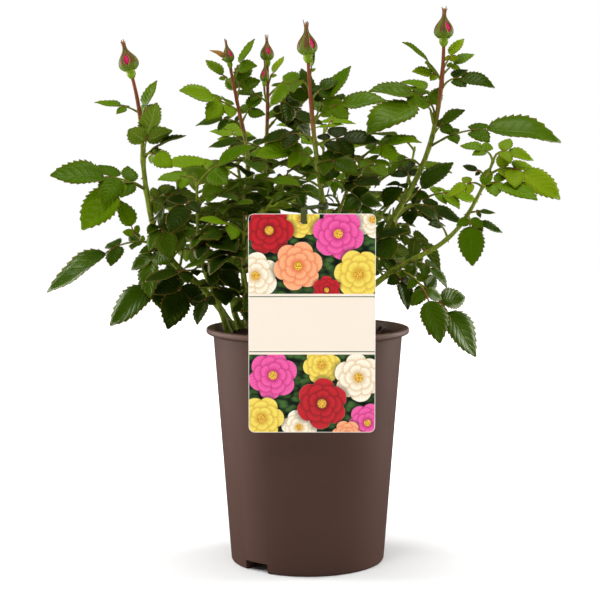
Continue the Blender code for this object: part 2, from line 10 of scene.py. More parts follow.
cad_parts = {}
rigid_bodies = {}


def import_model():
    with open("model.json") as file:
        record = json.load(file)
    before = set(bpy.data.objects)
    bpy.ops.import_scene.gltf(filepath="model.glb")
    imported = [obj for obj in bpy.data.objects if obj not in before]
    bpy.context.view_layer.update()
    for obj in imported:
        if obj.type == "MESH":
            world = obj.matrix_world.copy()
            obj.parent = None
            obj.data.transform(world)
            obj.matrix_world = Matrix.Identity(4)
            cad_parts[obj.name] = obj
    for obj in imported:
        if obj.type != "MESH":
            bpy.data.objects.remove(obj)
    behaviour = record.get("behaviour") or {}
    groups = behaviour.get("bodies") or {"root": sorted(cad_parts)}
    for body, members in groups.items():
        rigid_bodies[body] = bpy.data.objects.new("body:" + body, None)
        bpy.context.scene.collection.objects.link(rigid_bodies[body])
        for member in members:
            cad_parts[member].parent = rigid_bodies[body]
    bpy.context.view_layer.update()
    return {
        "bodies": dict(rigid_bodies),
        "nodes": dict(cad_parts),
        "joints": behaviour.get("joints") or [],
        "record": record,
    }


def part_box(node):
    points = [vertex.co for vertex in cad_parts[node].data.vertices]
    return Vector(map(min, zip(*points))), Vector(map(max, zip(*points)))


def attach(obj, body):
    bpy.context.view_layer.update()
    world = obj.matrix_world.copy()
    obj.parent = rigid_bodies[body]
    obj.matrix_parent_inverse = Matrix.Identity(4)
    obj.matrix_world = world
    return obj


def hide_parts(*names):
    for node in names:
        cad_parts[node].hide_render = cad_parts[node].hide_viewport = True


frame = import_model()
up = Vector((0, 0, 1))


# A finish is one material. A wire is a node's output, and its arithmetic adds Math nodes.
class Wire:
    def __init__(self, finish, socket):
        self.finish = finish
        self.socket = socket

    def __add__(self, other):
        return self.finish.math("ADD", self, other)

    def __sub__(self, other):
        return self.finish.math("SUBTRACT", self, other)

    def __rsub__(self, other):
        return self.finish.math("SUBTRACT", other, self)

    def __mul__(self, other):
        return self.finish.math("MULTIPLY", self, other)

    def __truediv__(self, other):
        return self.finish.math("DIVIDE", self, other)

    def __abs__(self):
        return self.finish.math("ABSOLUTE", self)

    __radd__ = __add__
    __rmul__ = __mul__


class Finish:
    def __init__(self, name, specular, others=None):
        self.material = bpy.data.materials.new(name)
        self.material.use_nodes = True
        self.tree = self.material.node_tree
        self.shader = self.tree.nodes["Principled BSDF"]
        for socket, value in {"Specular IOR Level": specular, **(others or {})}.items():
            self.shader.inputs[socket].default_value = value

    def feed(self, socket, value):
        if isinstance(value, Wire):
            self.tree.links.new(value.socket, socket)
        else:
            socket.default_value = value

    def node(self, kind, settings, sockets, output=0):
        made = self.tree.nodes.new(kind)
        for name, value in settings.items():
            if name == "stops":  # a ramp's places and colours
                ramp = made.color_ramp.elements
                ramp.remove(ramp[1])
                for place, colour in value[1:]:
                    ramp.new(place).color = colour
                ramp[0].position, ramp[0].color = value[0]
            else:
                setattr(made, name, value)
        for key, value in sockets.items():
            self.feed(made.inputs[key], value)
        return Wire(self, made.outputs[output])

    def math(self, operation, *values):
        return self.node("ShaderNodeMath", {"operation": operation}, dict(enumerate(values)))

    def vector(self, operation, first, second, output=0):
        return self.node("ShaderNodeVectorMath", {"operation": operation}, {0: first, 1: second}, output)

    def mix(self, factor, first, second, blend="MIX"):
        settings = {"data_type": "RGBA", "blend_type": blend}
        return self.node("ShaderNodeMix", settings, {0: factor, 6: first, 7: second}, 2)

    def rise(self, value, low, high):  # 0 under low, 1 over high, smooth between
        settings = {"interpolation_type": "SMOOTHSTEP"}
        return self.node("ShaderNodeMapRange", settings, {0: value, 1: low, 2: high})

    def place(self):
        return self.node("ShaderNodeTexCoord", {}, {}, 3)

    def blade(self):  # across and along a leaflet or sepal
        return self.node("ShaderNodeUVMap", {"uv_map": "blade"}, {})

    def attribute(self, name):
        return self.node("ShaderNodeAttribute", {"attribute_name": name}, {}, 2)

    def parts(self, vector):
        split = self.node("ShaderNodeSeparateXYZ", {}, {0: vector}).socket.node
        return [Wire(self, socket) for socket in split.outputs]

    def grain(self, vector, scale, detail=3.0, roughness=0.5):
        sockets = {"Vector": vector, "Scale": scale, "Detail": detail, "Roughness": roughness}
        return self.node("ShaderNodeTexNoise", {}, sockets)

    def streaks(self, place, scales, detail=4.0):  # grain drawn out along the axis of the smallest scale
        return self.grain(self.vector("MULTIPLY", place, scales), 1.0, detail)

    def wear(self, colour, roughness, height=None, distance=0.001, strength=0.5):
        self.feed(self.shader.inputs["Base Color"], colour)
        self.feed(self.shader.inputs["Roughness"], roughness)
        if height:
            sockets = {"Height": height, "Distance": distance, "Strength": strength}
            self.feed(self.shader.inputs["Normal"], self.node("ShaderNodeBump", {}, sockets))
        return self.material


def paint(red, green, blue):  # a screen colour, 0 to 255, as a linear one
    linear = [(part / 255.0 + 0.055) / 1.055 for part in (red, green, blue)]
    return (*[part ** 2.4 if part > 0.094 else (part * 1.055 - 0.055) / 12.92 for part in linear], 1.0)


def asMesh(bm, name):
    mesh = bpy.data.meshes.new(name)
    bm.to_mesh(mesh)
    bm.free()
    return mesh


def link(name, data):
    made = bpy.data.objects.new(name, data)
    bpy.context.scene.collection.objects.link(made)
    return made


def markSharp(bm, angle):  # edges that turn more than this, in degrees
    for edge in bm.edges:
        if len(edge.link_faces) == 2:
            edge.smooth = edge.calc_face_angle() < math.radians(angle)


def addPiece(name, bm, finishes, nodes=(), sharp=50.0):
    markSharp(bm, sharp)
    for face in bm.faces:
        face.smooth = True
    mesh = asMesh(bm, name)
    for finish in finishes:
        mesh.materials.append(finish)
    piece = link(name, mesh)
    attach(piece, "root")
    if nodes:
        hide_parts(*nodes)
    return piece


def rounded(corners, pieces=4):  # a profile whose corners (radius, height, fillet) are rounded
    line = []
    for index, (radius, height, fillet) in enumerate(corners):
        spot = Vector((radius, 0.0, height))
        if not fillet:
            line.append(spot)
            continue
        before = Vector((corners[index - 1][0], 0.0, corners[index - 1][1]))
        after = Vector((corners[index + 1][0], 0.0, corners[index + 1][1]))
        start = spot + fillet * (before - spot).normalized()
        end = spot + fillet * (after - spot).normalized()
        for step in range(pieces + 1):
            share = step / pieces
            line.append(start.lerp(spot, share).lerp(spot.lerp(end, share), share))
    return line


def spun(line, steps, bm=None, matrix=None):  # a solid of revolution round Z
    made = bmesh.new()
    points = [made.verts.new(spot) for spot in line]
    edges = [made.edges.new(pair) for pair in zip(points, points[1:])]
    bmesh.ops.spin(made, geom=points + edges, cent=(0, 0, 0), axis=(0, 0, 1), angle=math.tau,
                   steps=steps, use_merge=True)
    bmesh.ops.remove_doubles(made, verts=made.verts, dist=1e-6)
    bmesh.ops.recalc_face_normals(made, faces=made.faces)
    if matrix:
        bmesh.ops.transform(made, matrix=matrix, verts=made.verts)
    if not bm:
        return made
    pour(made, bm)
    return bm


def pour(source, target):  # adds one bmesh to another
    mesh = asMesh(source, "poured")
    target.from_mesh(mesh)
    bpy.data.meshes.remove(mesh)


def framesAlong(points, first=None):  # +Z along the line, turned as little as possible
    ahead = [(b - a).normalized() for a, b in zip(points, points[1:])]
    middle = [(a + b).normalized() for a, b in zip(ahead, ahead[1:])]
    directions = [first or ahead[0], *middle, ahead[-1]]
    turn = up.rotation_difference(directions[0]).to_matrix()
    frames = []
    for index, point in enumerate(points):
        if index:
            turn = directions[index - 1].rotation_difference(directions[index]).to_matrix() @ turn
        frames.append(Matrix.Translation(point) @ turn.to_4x4())
    return frames


def tube(points, radii, sides, shares=None, tone=0.5, first=None):
    bm = bmesh.new()
    shareLayer = bm.verts.layers.float.new("share")
    toneLayer = bm.verts.layers.float.new("tone")
    rings = [frame @ Matrix.Scale(radius, 4) for frame, radius in zip(framesAlong(points, first), radii)]
    start = bmesh.ops.create_circle(bm, cap_ends=True, segments=sides, radius=1.0, matrix=rings[0])
    verts = start["verts"]
    edges = list(bm.edges)
    for index, ring in enumerate(rings):
        if index:
            grown = bmesh.ops.extrude_edge_only(bm, edges=edges)["geom"]
            verts = [part for part in grown if isinstance(part, bmesh.types.BMVert)]
            edges = [part for part in grown if isinstance(part, bmesh.types.BMEdge)]
            bmesh.ops.transform(bm, matrix=ring @ rings[index - 1].inverted(), verts=verts)
        for vert in verts:
            vert[shareLayer] = shares[index] if shares else index / (len(rings) - 1)
            vert[toneLayer] = tone
    bmesh.ops.contextual_create(bm, geom=edges)
    bmesh.ops.recalc_face_normals(bm, faces=bm.faces)
    return bm


# Camera, floor and light, in metres, degrees, watts and, for the lens, millimetres
view = {"place": (-0.00724, -1.387, 0.3642), "pitch": 4.91, "lens": 89.1}
studio = {
    "sky": (("", 0.18), ("Is Glossy Ray", 0.05), ("Is Camera Ray", 1.0)),  # as each kind of ray sees it
    "floor": 4.0, "glow": 0.50, "glowFrom": (0.25, 0.80),
    "paper": (paint(232, 232, 232), paint(235, 235, 235)),
    "overhead": {"energy": 2.4, "spread": 70.0, "turn": (4.0, -2.0)},
    "lights": (  # place, aim, width, height, watts
        ((-0.6, -1.3, 1.7), (0.0, 0.0, 0.28), 0.6, 0.6, 9.0),
        ((0.1, 0.3, 2.0), (0.0, 0.0, 0.3), 0.8, 0.8, 8.0),
        ((1.35, 0.45, 0.48), (0.0, 0.0, 0.2), 0.9, 1.0, 26.0),
        ((-1.35, 0.40, 0.48), (0.0, 0.0, 0.2), 0.9, 1.0, 28.0),
    ),
}


def lightWorld():  # soft light, less of it in what gloss mirrors, and plain white behind for the camera
    world = bpy.context.scene.world = bpy.data.worlds.new("studio")
    world.use_nodes = True
    nodes, links = world.node_tree.nodes, world.node_tree.links
    paths = nodes.new("ShaderNodeLightPath")
    surface = None
    for ray, strength in studio["sky"]:
        glow = nodes.new("ShaderNodeBackground") if surface else nodes["Background"]
        glow.inputs["Color"].default_value = (1.0, 1.0, 1.0, 1.0)
        glow.inputs["Strength"].default_value = strength
        if surface:
            both = nodes.new("ShaderNodeMixShader")
            links.new(paths.outputs[ray], both.inputs[0])
            links.new(surface.outputs[0], both.inputs[1])
            links.new(glow.outputs[0], both.inputs[2])
        surface = both if surface else glow
    links.new(surface.outputs[0], nodes["World Output"].inputs["Surface"])


def hangLights():
    dome = bpy.data.lights.new("overhead", "SUN")
    dome.energy = studio["overhead"]["energy"]
    dome.angle = math.radians(studio["overhead"]["spread"])
    above = link("overhead", dome)
    above.rotation_euler = [math.radians(turn) for turn in (*studio["overhead"]["turn"], 0.0)]
    above.visible_glossy = False
    for index, (place, aim, width, height, watts) in enumerate(studio["lights"]):
        lamp = bpy.data.lights.new(f"softbox {index}", "AREA")
        lamp.shape = "RECTANGLE"
        lamp.size, lamp.size_y, lamp.energy = width, height, watts
        box = link(lamp.name, lamp)
        box.location = place
        box.rotation_euler = (Vector(aim) - Vector(place)).to_track_quat("-Z", "Y").to_euler()
        box.visible_camera = False


def layFloor():
    bm = bmesh.new()
    bmesh.ops.create_grid(bm, x_segments=8, y_segments=8, size=studio["floor"])
    floor = link("floor", asMesh(bm, "floor"))
    white = Finish("floor paper", 0.1, {"Emission Strength": studio["glow"]})
    away = white.vector("LENGTH", white.place(), (0.0, 0.0, 0.0), 1)
    far = white.rise(away, *studio["glowFrom"])  # past the softboxes the paper lights itself
    glow = white.mix(far, (0.0, 0.0, 0.0, 1.0), (1.0, 1.0, 1.0, 1.0))
    white.feed(white.shader.inputs["Emission Color"], glow)
    mottle = white.grain(white.place(), 3.0)
    floor.data.materials.append(white.wear(white.mix(mottle, *studio["paper"]), 0.9))
    floor.visible_glossy = False  # a white floor mirrored in each leaf would wash its green out


def buildStudio():
    scene = bpy.context.scene
    scene.view_settings.view_transform = "Standard"
    camera = scene.camera = link("camera", bpy.data.cameras.new("camera"))
    camera.data.lens = view["lens"]
    camera.data.sensor_width = 36.0
    camera.location = view["place"]
    camera.rotation_euler = (math.radians(90.0 - view["pitch"]), 0.0, 0.0)
    lightWorld()
    hangLights()
    layFloor()
    print("camera, lights and floor")


# Pot, in metres and degrees
pot = {
    "height": 0.220, "rimRadius": 0.095, "rimDepth": 0.0055, "wallTop": 0.0885, "foot": 0.0721,
    "wall": 0.0018, "footRing": 0.0090, "footStep": 0.010, "floor": 0.002, "hub": 0.026,
    "notchHeading": 229.0, "notch": (0.020, 0.0265, 0.018), "notchBevel": 0.0012, "steps": 180,
    "rimHighlight": (0.2135, 0.2195),  # the heights between which the rim pales, a painted highlight along its top
}


def innerRadius(height):
    share = height / (pot["height"] - pot["rimDepth"])
    return pot["foot"] + (pot["wallTop"] - pot["foot"]) * share - pot["wall"]


def potFinish():
    plastic = Finish("pot plastic", 0.16)
    place = plastic.place()
    cloud = plastic.grain(place, 9.0, 4.0)
    speck = plastic.grain(place, 2600.0, 2.0)
    height = plastic.parts(place)[2]
    scuff = plastic.rise(plastic.streaks(place, (60.0, 60.0, 700.0)), 0.62, 0.72)  # rings round the pot
    brown = plastic.mix(cloud, paint(74, 51, 42), paint(81, 56, 47))
    # the rim's top painted paler: a painted highlight
    brown = plastic.mix(plastic.rise(height, *pot["rimHighlight"]) * 0.35, brown, paint(118, 92, 80))
    brown = plastic.mix(scuff * 0.05, brown, paint(120, 96, 86))
    return plastic.wear(brown, 0.46 + 0.08 * cloud + 0.05 * speck, speck, 0.0002, 0.10)


def cutNotches(shell):  # one notch through the foot ring on each of two opposite sides
    cutters = []
    for turn in (0.0, 180.0):
        bm = bmesh.new()
        place = Matrix.Rotation(math.radians(pot["notchHeading"] + turn), 4, "Z")
        place = place @ Matrix.Translation((pot["foot"], 0.0, 0.0))
        place = place @ Matrix.Diagonal((*pot["notch"], 1.0))
        bmesh.ops.create_cube(bm, size=1.0, matrix=place)
        roof = [edge for edge in bm.edges if all(vert.co.z > 0 for vert in edge.verts)]
        bmesh.ops.bevel(bm, geom=roof, offset=pot["notchBevel"], offset_type="OFFSET", segments=3,
                        profile=0.5, affect="EDGES", material=-1)
        bmesh.ops.recalc_face_normals(bm, faces=bm.faces)
        cutters.append(link("notch", asMesh(bm, "notch")))
        cutters[-1].data.materials.append(shell.data.materials[0])
        cut = shell.modifiers.new("notch", "BOOLEAN")
        cut.operation = "DIFFERENCE"
        cut.solver = "EXACT"
        cut.object = cutters[-1]
    cutMesh = bpy.data.meshes.new_from_object(shell.evaluated_get(bpy.context.evaluated_depsgraph_get()))
    shell.modifiers.clear()
    bm = bmesh.new()
    bm.from_mesh(cutMesh)
    bmesh.ops.remove_doubles(bm, verts=bm.verts, dist=1e-6)
    markSharp(bm, 40.0)
    bm.to_mesh(shell.data)
    bm.free()
    bpy.data.meshes.remove(cutMesh)
    for cutter in cutters:
        bpy.data.objects.remove(cutter)


def buildPot():
    rimFoot = pot["height"] - pot["rimDepth"]
    floorTop = pot["footStep"] + pot["floor"]
    corners = [  # radius, height and fillet, from the middle of the underside round to the floor inside
        (0.0, 0.0, 0.0),
        (pot["hub"], 0.0, 0.0008),
        (pot["hub"] + 0.001, pot["footStep"], 0.0006),
        (pot["foot"] - pot["footRing"] + 0.0004, pot["footStep"], 0.0006),
        (pot["foot"] - pot["footRing"], 0.0, 0.0008),
        (pot["foot"], 0.0, 0.0022),
        (pot["wallTop"], rimFoot - 0.0012, 0.0010),
        (pot["rimRadius"] - 0.0022, rimFoot - 0.0004, 0.0008),
        (pot["rimRadius"], rimFoot + 0.0008, 0.0012),
        (pot["rimRadius"], pot["height"], 0.0020),
        (pot["rimRadius"] - 0.0056, pot["height"], 0.0018),
        (innerRadius(rimFoot - 0.002), rimFoot - 0.002, 0.0010),
        (innerRadius(floorTop), floorTop, 0.0020),
        (0.0, floorTop, 0.0),
    ]
    bm = spun(rounded(corners), pot["steps"])
    shell = addPiece("pot_shell", bm, [potFinish()], ["pot"])
    cutNotches(shell)
    print("pot", len(shell.data.polygons), "faces")


# Compost and the bark chips on it, in metres
compost = {
    "top": 0.215, "shoulder": 0.004, "gap": 0.0005, "floorGap": 0.0003, "rings": 26, "steps": 120,
    "ringSpread": 0.9, "lumps": 0.0030, "lumpScales": (55.0, 160.0), "rimDip": 0.0022, "dipPower": 10,
    "chips": 420, "chipSize": (0.0015, 0.0060), "chipWidth": (0.3, 0.7), "chipThickness": (0.15, 0.35),
    "thickest": 0.001, "chipTilt": 0.5, "chipStray": 0.10, "chipLift": 0.0002, "chipEdge": 0.003,
    "chipDark": 2.2, "seed": 11,
}


def compostFinish():
    soil = Finish("compost", 0.15)
    place = soil.place()
    crumb = soil.grain(place, 420.0, 5.0, 0.7)
    patch = soil.grain(place, 70.0, 3.0)
    fibre = soil.rise(soil.streaks(place, (300.0, 900.0, 300.0), 3.0), 0.60, 0.70)
    dark = soil.mix(patch, paint(34, 22, 15), paint(62, 41, 27))
    dark = soil.mix(soil.rise(crumb, 0.45, 0.75), dark, paint(92, 62, 40))
    dark = soil.mix(fibre * 0.35, dark, paint(150, 108, 66))
    return soil.wear(dark, 0.92, crumb, 0.0020, 0.9)


def chipFinish():
    bark = Finish("bark chips", 0.2)
    tone = bark.attribute("tone")
    streak = bark.streaks(bark.place(), (500.0, 500.0, 1500.0))
    stops = ((0.0, paint(46, 30, 20)), (0.45, paint(88, 54, 32)), (0.8, paint(142, 90, 50)),
             (1.0, paint(190, 140, 90)))
    colour = bark.node("ShaderNodeValToRGB", {"stops": stops}, {0: tone})
    colour = bark.mix(streak * 0.6, colour, paint(52, 34, 22), "MULTIPLY")
    return bark.wear(colour, 0.85, streak, 0.0008, 0.7)


def lumps(x, y):  # how far the compost stands under its greatest height
    coarse, fine = compost["lumpScales"]
    rough = noise.noise(Vector((x, y, 0.3)) * coarse) + 0.5 * noise.noise(Vector((x, y, 7.1)) * fine)
    return compost["lumps"] * (rough - 1.0) / 2.0


def scatterChips(edge):
    chance = random.Random(compost["seed"])
    bm = bmesh.new()
    toneLayer = bm.verts.layers.float.new("tone")
    tilt, stray = compost["chipTilt"], compost["chipStray"]
    for _ in range(compost["chips"]):
        reach = (edge - compost["chipEdge"]) * math.sqrt(chance.random())
        turn = chance.uniform(0, math.tau)
        x, y = reach * math.cos(turn), reach * math.sin(turn)
        size = chance.uniform(*compost["chipSize"])
        spot = Matrix.Translation((x, y, compost["top"] + lumps(x, y) + compost["chipLift"]))
        lean = Matrix.Rotation(chance.uniform(-tilt, tilt), 4, "X")
        lean = lean @ Matrix.Rotation(chance.uniform(-tilt, tilt), 4, "Y")
        width = size * chance.uniform(*compost["chipWidth"])
        thickness = min(size * chance.uniform(*compost["chipThickness"]), compost["thickest"])
        shape = Matrix.Diagonal((size, width, thickness, 1.0))
        place = spot @ Matrix.Rotation(chance.uniform(0, math.tau), 4, "Z") @ lean @ shape
        grown = bmesh.ops.create_icosphere(bm, subdivisions=1, radius=0.5, matrix=place)["verts"]
        tone = chance.random() ** compost["chipDark"]
        for vert in grown:
            vert.co += Vector([chance.uniform(-stray, stray) * size for _ in range(2)] + [0.0])
            vert[toneLayer] = tone
    return bm


def buildCompost():
    low = pot["footStep"] + pot["floor"] + compost["floorGap"]
    shoulder = compost["top"] - compost["shoulder"]
    edge = innerRadius(shoulder) - compost["gap"]
    line = [(0.0, low), (innerRadius(low) - compost["gap"], low), (edge, shoulder)]
    for ring in range(compost["rings"]):
        share = 1.0 - (ring + 0.5) / compost["rings"]
        line.append((edge * share ** compost["ringSpread"], compost["top"]))
    line.append((0.0, compost["top"]))
    bm = spun([Vector((radius, 0.0, height)) for radius, height in line], compost["steps"])
    for vert in bm.verts:
        if vert.co.z > shoulder + 1e-5:
            rim = min(math.hypot(vert.co.x, vert.co.y) / edge, 1.0)
            vert.co.z += lumps(vert.co.x, vert.co.y) - compost["rimDip"] * rim ** compost["dipPower"]
    addPiece("compost_fill", bm, [compostFinish()], ["compost"], 180.0)
    addPiece("bark_chips", scatterChips(edge), [chipFinish()], (), 25.0)
    print("compost and", compost["chips"], "chips")


# Label card and its tie, in metres on the card's face
card = {
    "middle": (0.0032, 0.2325), "half": (0.0555, 0.096), "corner": 0.005, "edge": 0.0005, "back": -0.0953,
    "thickness": 0.001, "band": (0.2052, 0.2589), "rule": (0.0022, 0.0030), "soft": 0.0002,
    "rings": ((6, 1.00, 0.0), (6, 0.74, 0.5), (5, 0.50, 0.3)),  # petals, reach and shift of each ring
    "red": ((206, 14, 32), (120, 4, 14)), "pink": ((244, 92, 170), (196, 26, 110)),
    "cream": ((252, 244, 224), (222, 184, 120)), "yellow": ((246, 224, 92), (214, 160, 30)),
    "apricot": ((252, 178, 128), (232, 106, 56)),  # each kind's margin, then its throat
}
blossoms = (  # across, up, radius, turn and colour, the lowest first
    (-0.006, 0.3235, 0.0170, 0.2, "yellow"), (0.056, 0.3235, 0.0170, 0.9, "cream"),
    (-0.034, 0.3140, 0.0225, 0.5, "red"), (-0.046, 0.2745, 0.0215, 0.1, "cream"),
    (0.026, 0.3110, 0.0235, 0.8, "pink"), (-0.009, 0.2830, 0.0225, 0.3, "apricot"),
    (0.044, 0.2760, 0.0225, 0.6, "yellow"), (0.016, 0.2620, 0.0130, 0.0, "red"),
    (0.012, 0.1960, 0.0175, 0.4, "yellow"), (-0.008, 0.1410, 0.0165, 0.7, "cream"),
    (-0.031, 0.1870, 0.0225, 0.2, "pink"), (0.044, 0.1850, 0.0225, 0.9, "cream"),
    (-0.041, 0.1490, 0.0205, 0.5, "yellow"), (0.052, 0.1450, 0.0180, 0.3, "pink"),
    (0.012, 0.1620, 0.0235, 0.1, "red"), (0.034, 0.1340, 0.0140, 0.6, "apricot"),
)


def petalEdge(finish, angle, count, size, shift):  # the share of a petal's width, and its reach there
    around = finish.math("FRACT", angle * (count / math.tau) + shift)
    return around, size * (0.80 + 0.20 * finish.math("POWER", finish.math("SINE", around * math.pi), 0.6))


def blossomPrint(finish, flat):  # overlapping open flowers over dark leaves
    ruffle = finish.grain(flat, 160.0, 3.0)
    sprig = {"voronoi_dimensions": "2D", "feature": "F1"}
    slant = finish.vector("MULTIPLY", flat, (120.0, 210.0, 0.0))
    frond = finish.node("ShaderNodeTexVoronoi", sprig, {"Vector": slant, "Scale": 1.0}, 0)
    colour = finish.mix(finish.rise(frond, 0.15, 0.75), paint(70, 112, 44), paint(16, 36, 18))
    spot, pale, deep, lit, bare = flat, paint(255, 255, 255), paint(255, 255, 255), 1.0, 1.0
    for across, height, radius, turn, name in blossoms:
        centred = finish.vector("SUBTRACT", flat, (across, height, -turn * radius))
        local = finish.vector("MULTIPLY", centred, 3 * (1.0 / radius,))
        dx, dy, _ = finish.parts(local)
        _, edge = petalEdge(finish, finish.math("ARCTAN2", dy, dx) + turn, *card["rings"][0])
        size = finish.math("SQRT", dx * dx + dy * dy) / (edge - 0.06 * ruffle)
        outside = finish.rise(size, 0.98, 1.0)
        lit = finish.math("MAXIMUM", 1.0 - outside, lit * (0.45 + 0.55 * finish.rise(size, 1.0, 1.22)))
        spot = finish.mix(outside, local, spot)
        pale = finish.mix(outside, paint(*card[name][0]), pale)
        deep = finish.mix(outside, paint(*card[name][1]), deep)
        bare = bare * outside
    dx, dy, turn = finish.parts(spot)
    reach = finish.math("SQRT", dx * dx + dy * dy)
    angle = finish.math("ARCTAN2", dy, dx) + turn
    bloom = deep
    for count, size, shift in card["rings"]:
        around, edge = petalEdge(finish, angle, count, size, shift)
        inside = 1.0 - finish.rise(reach, edge - 0.02, edge)
        depth = finish.rise(reach / edge, 0.25, 0.90) * (0.45 + 0.55 * finish.rise(around, 0.0, 0.25))
        streak = 0.16 * finish.math("SINE", around * 44.0) + 0.30 * (ruffle - 0.5)
        shade = finish.mix(finish.rise(reach, edge, edge + 0.14), finish.mix(0.5, deep, bloom), bloom)
        bloom = finish.mix(inside, shade, finish.mix(depth + streak, deep, pale))
    anther = finish.grain(flat, 900.0, 1.0)
    gold = finish.mix(finish.rise(anther, 0.42, 0.60), paint(196, 120, 20), paint(250, 214, 70))
    bloom = finish.mix(finish.rise(reach + 0.10 * (anther - 0.5), 0.15, 0.19), gold, bloom)
    shadow = finish.node("ShaderNodeCombineXYZ", {}, {0: lit, 1: lit, 2: lit})
    return finish.mix(1.0, finish.mix(bare, bloom, colour), shadow, "MULTIPLY")


def within(finish, height, inset, soft):  # 1 in the blank panel, as far as the inset from its edges
    low, high = card["band"][0] + inset, card["band"][1] - inset
    return finish.rise(height, low, low + soft) * (1.0 - finish.rise(height, high - soft, high))


def cardFinish():
    glossy = Finish("label card", 0.5)
    x, y, z = glossy.parts(glossy.place())
    flat = glossy.node("ShaderNodeCombineXYZ", {}, {0: x, 1: z, 2: 0.0})
    soft = card["soft"]
    band = within(glossy, z, 0.0, 2.0 * soft)  # the blank panel, with a thin rule inside its edges
    rule = within(glossy, z, card["rule"][0], soft) - within(glossy, z, card["rule"][1], soft)
    cream = glossy.mix(rule, paint(246, 233, 216), paint(58, 96, 62))
    picture = glossy.mix(band, blossomPrint(glossy, flat), cream)
    inset = [half - card["corner"] for half in card["half"]]
    past = [glossy.math("MAXIMUM", abs(value - middle) - half, 0.0)
            for value, middle, half in zip((x, z), card["middle"], inset)]
    corner = glossy.math("SQRT", past[0] * past[0] + past[1] * past[1])
    edge = card["corner"] - card["edge"]
    back, thickness = card["back"], card["thickness"]
    behind = glossy.rise(y, back - thickness * 0.9, back - thickness * 0.6)
    plain = glossy.math("MAXIMUM", glossy.rise(corner, edge, edge + soft), behind)
    colour = glossy.mix(plain, picture, paint(246, 244, 238))
    return glossy.wear(colour, 0.34 + 0.06 * glossy.grain(flat, 60.0))


def tieFinish():
    plastic = Finish("label tie", 0.2)
    place = plastic.place()
    ribs = plastic.math("SINE", plastic.parts(place)[0] * 9000.0)
    green = plastic.mix(plastic.grain(place, 300.0), paint(58, 68, 30), paint(78, 88, 44))
    return plastic.wear(green, 0.55, ribs, 0.0001, 0.4)


def finishCard():
    for name, finish in (("label_card", cardFinish()), ("label_tie", tieFinish())):
        frame["nodes"][name].data.materials.clear()
        frame["nodes"][name].data.materials.append(finish)
    print("label card and tie")
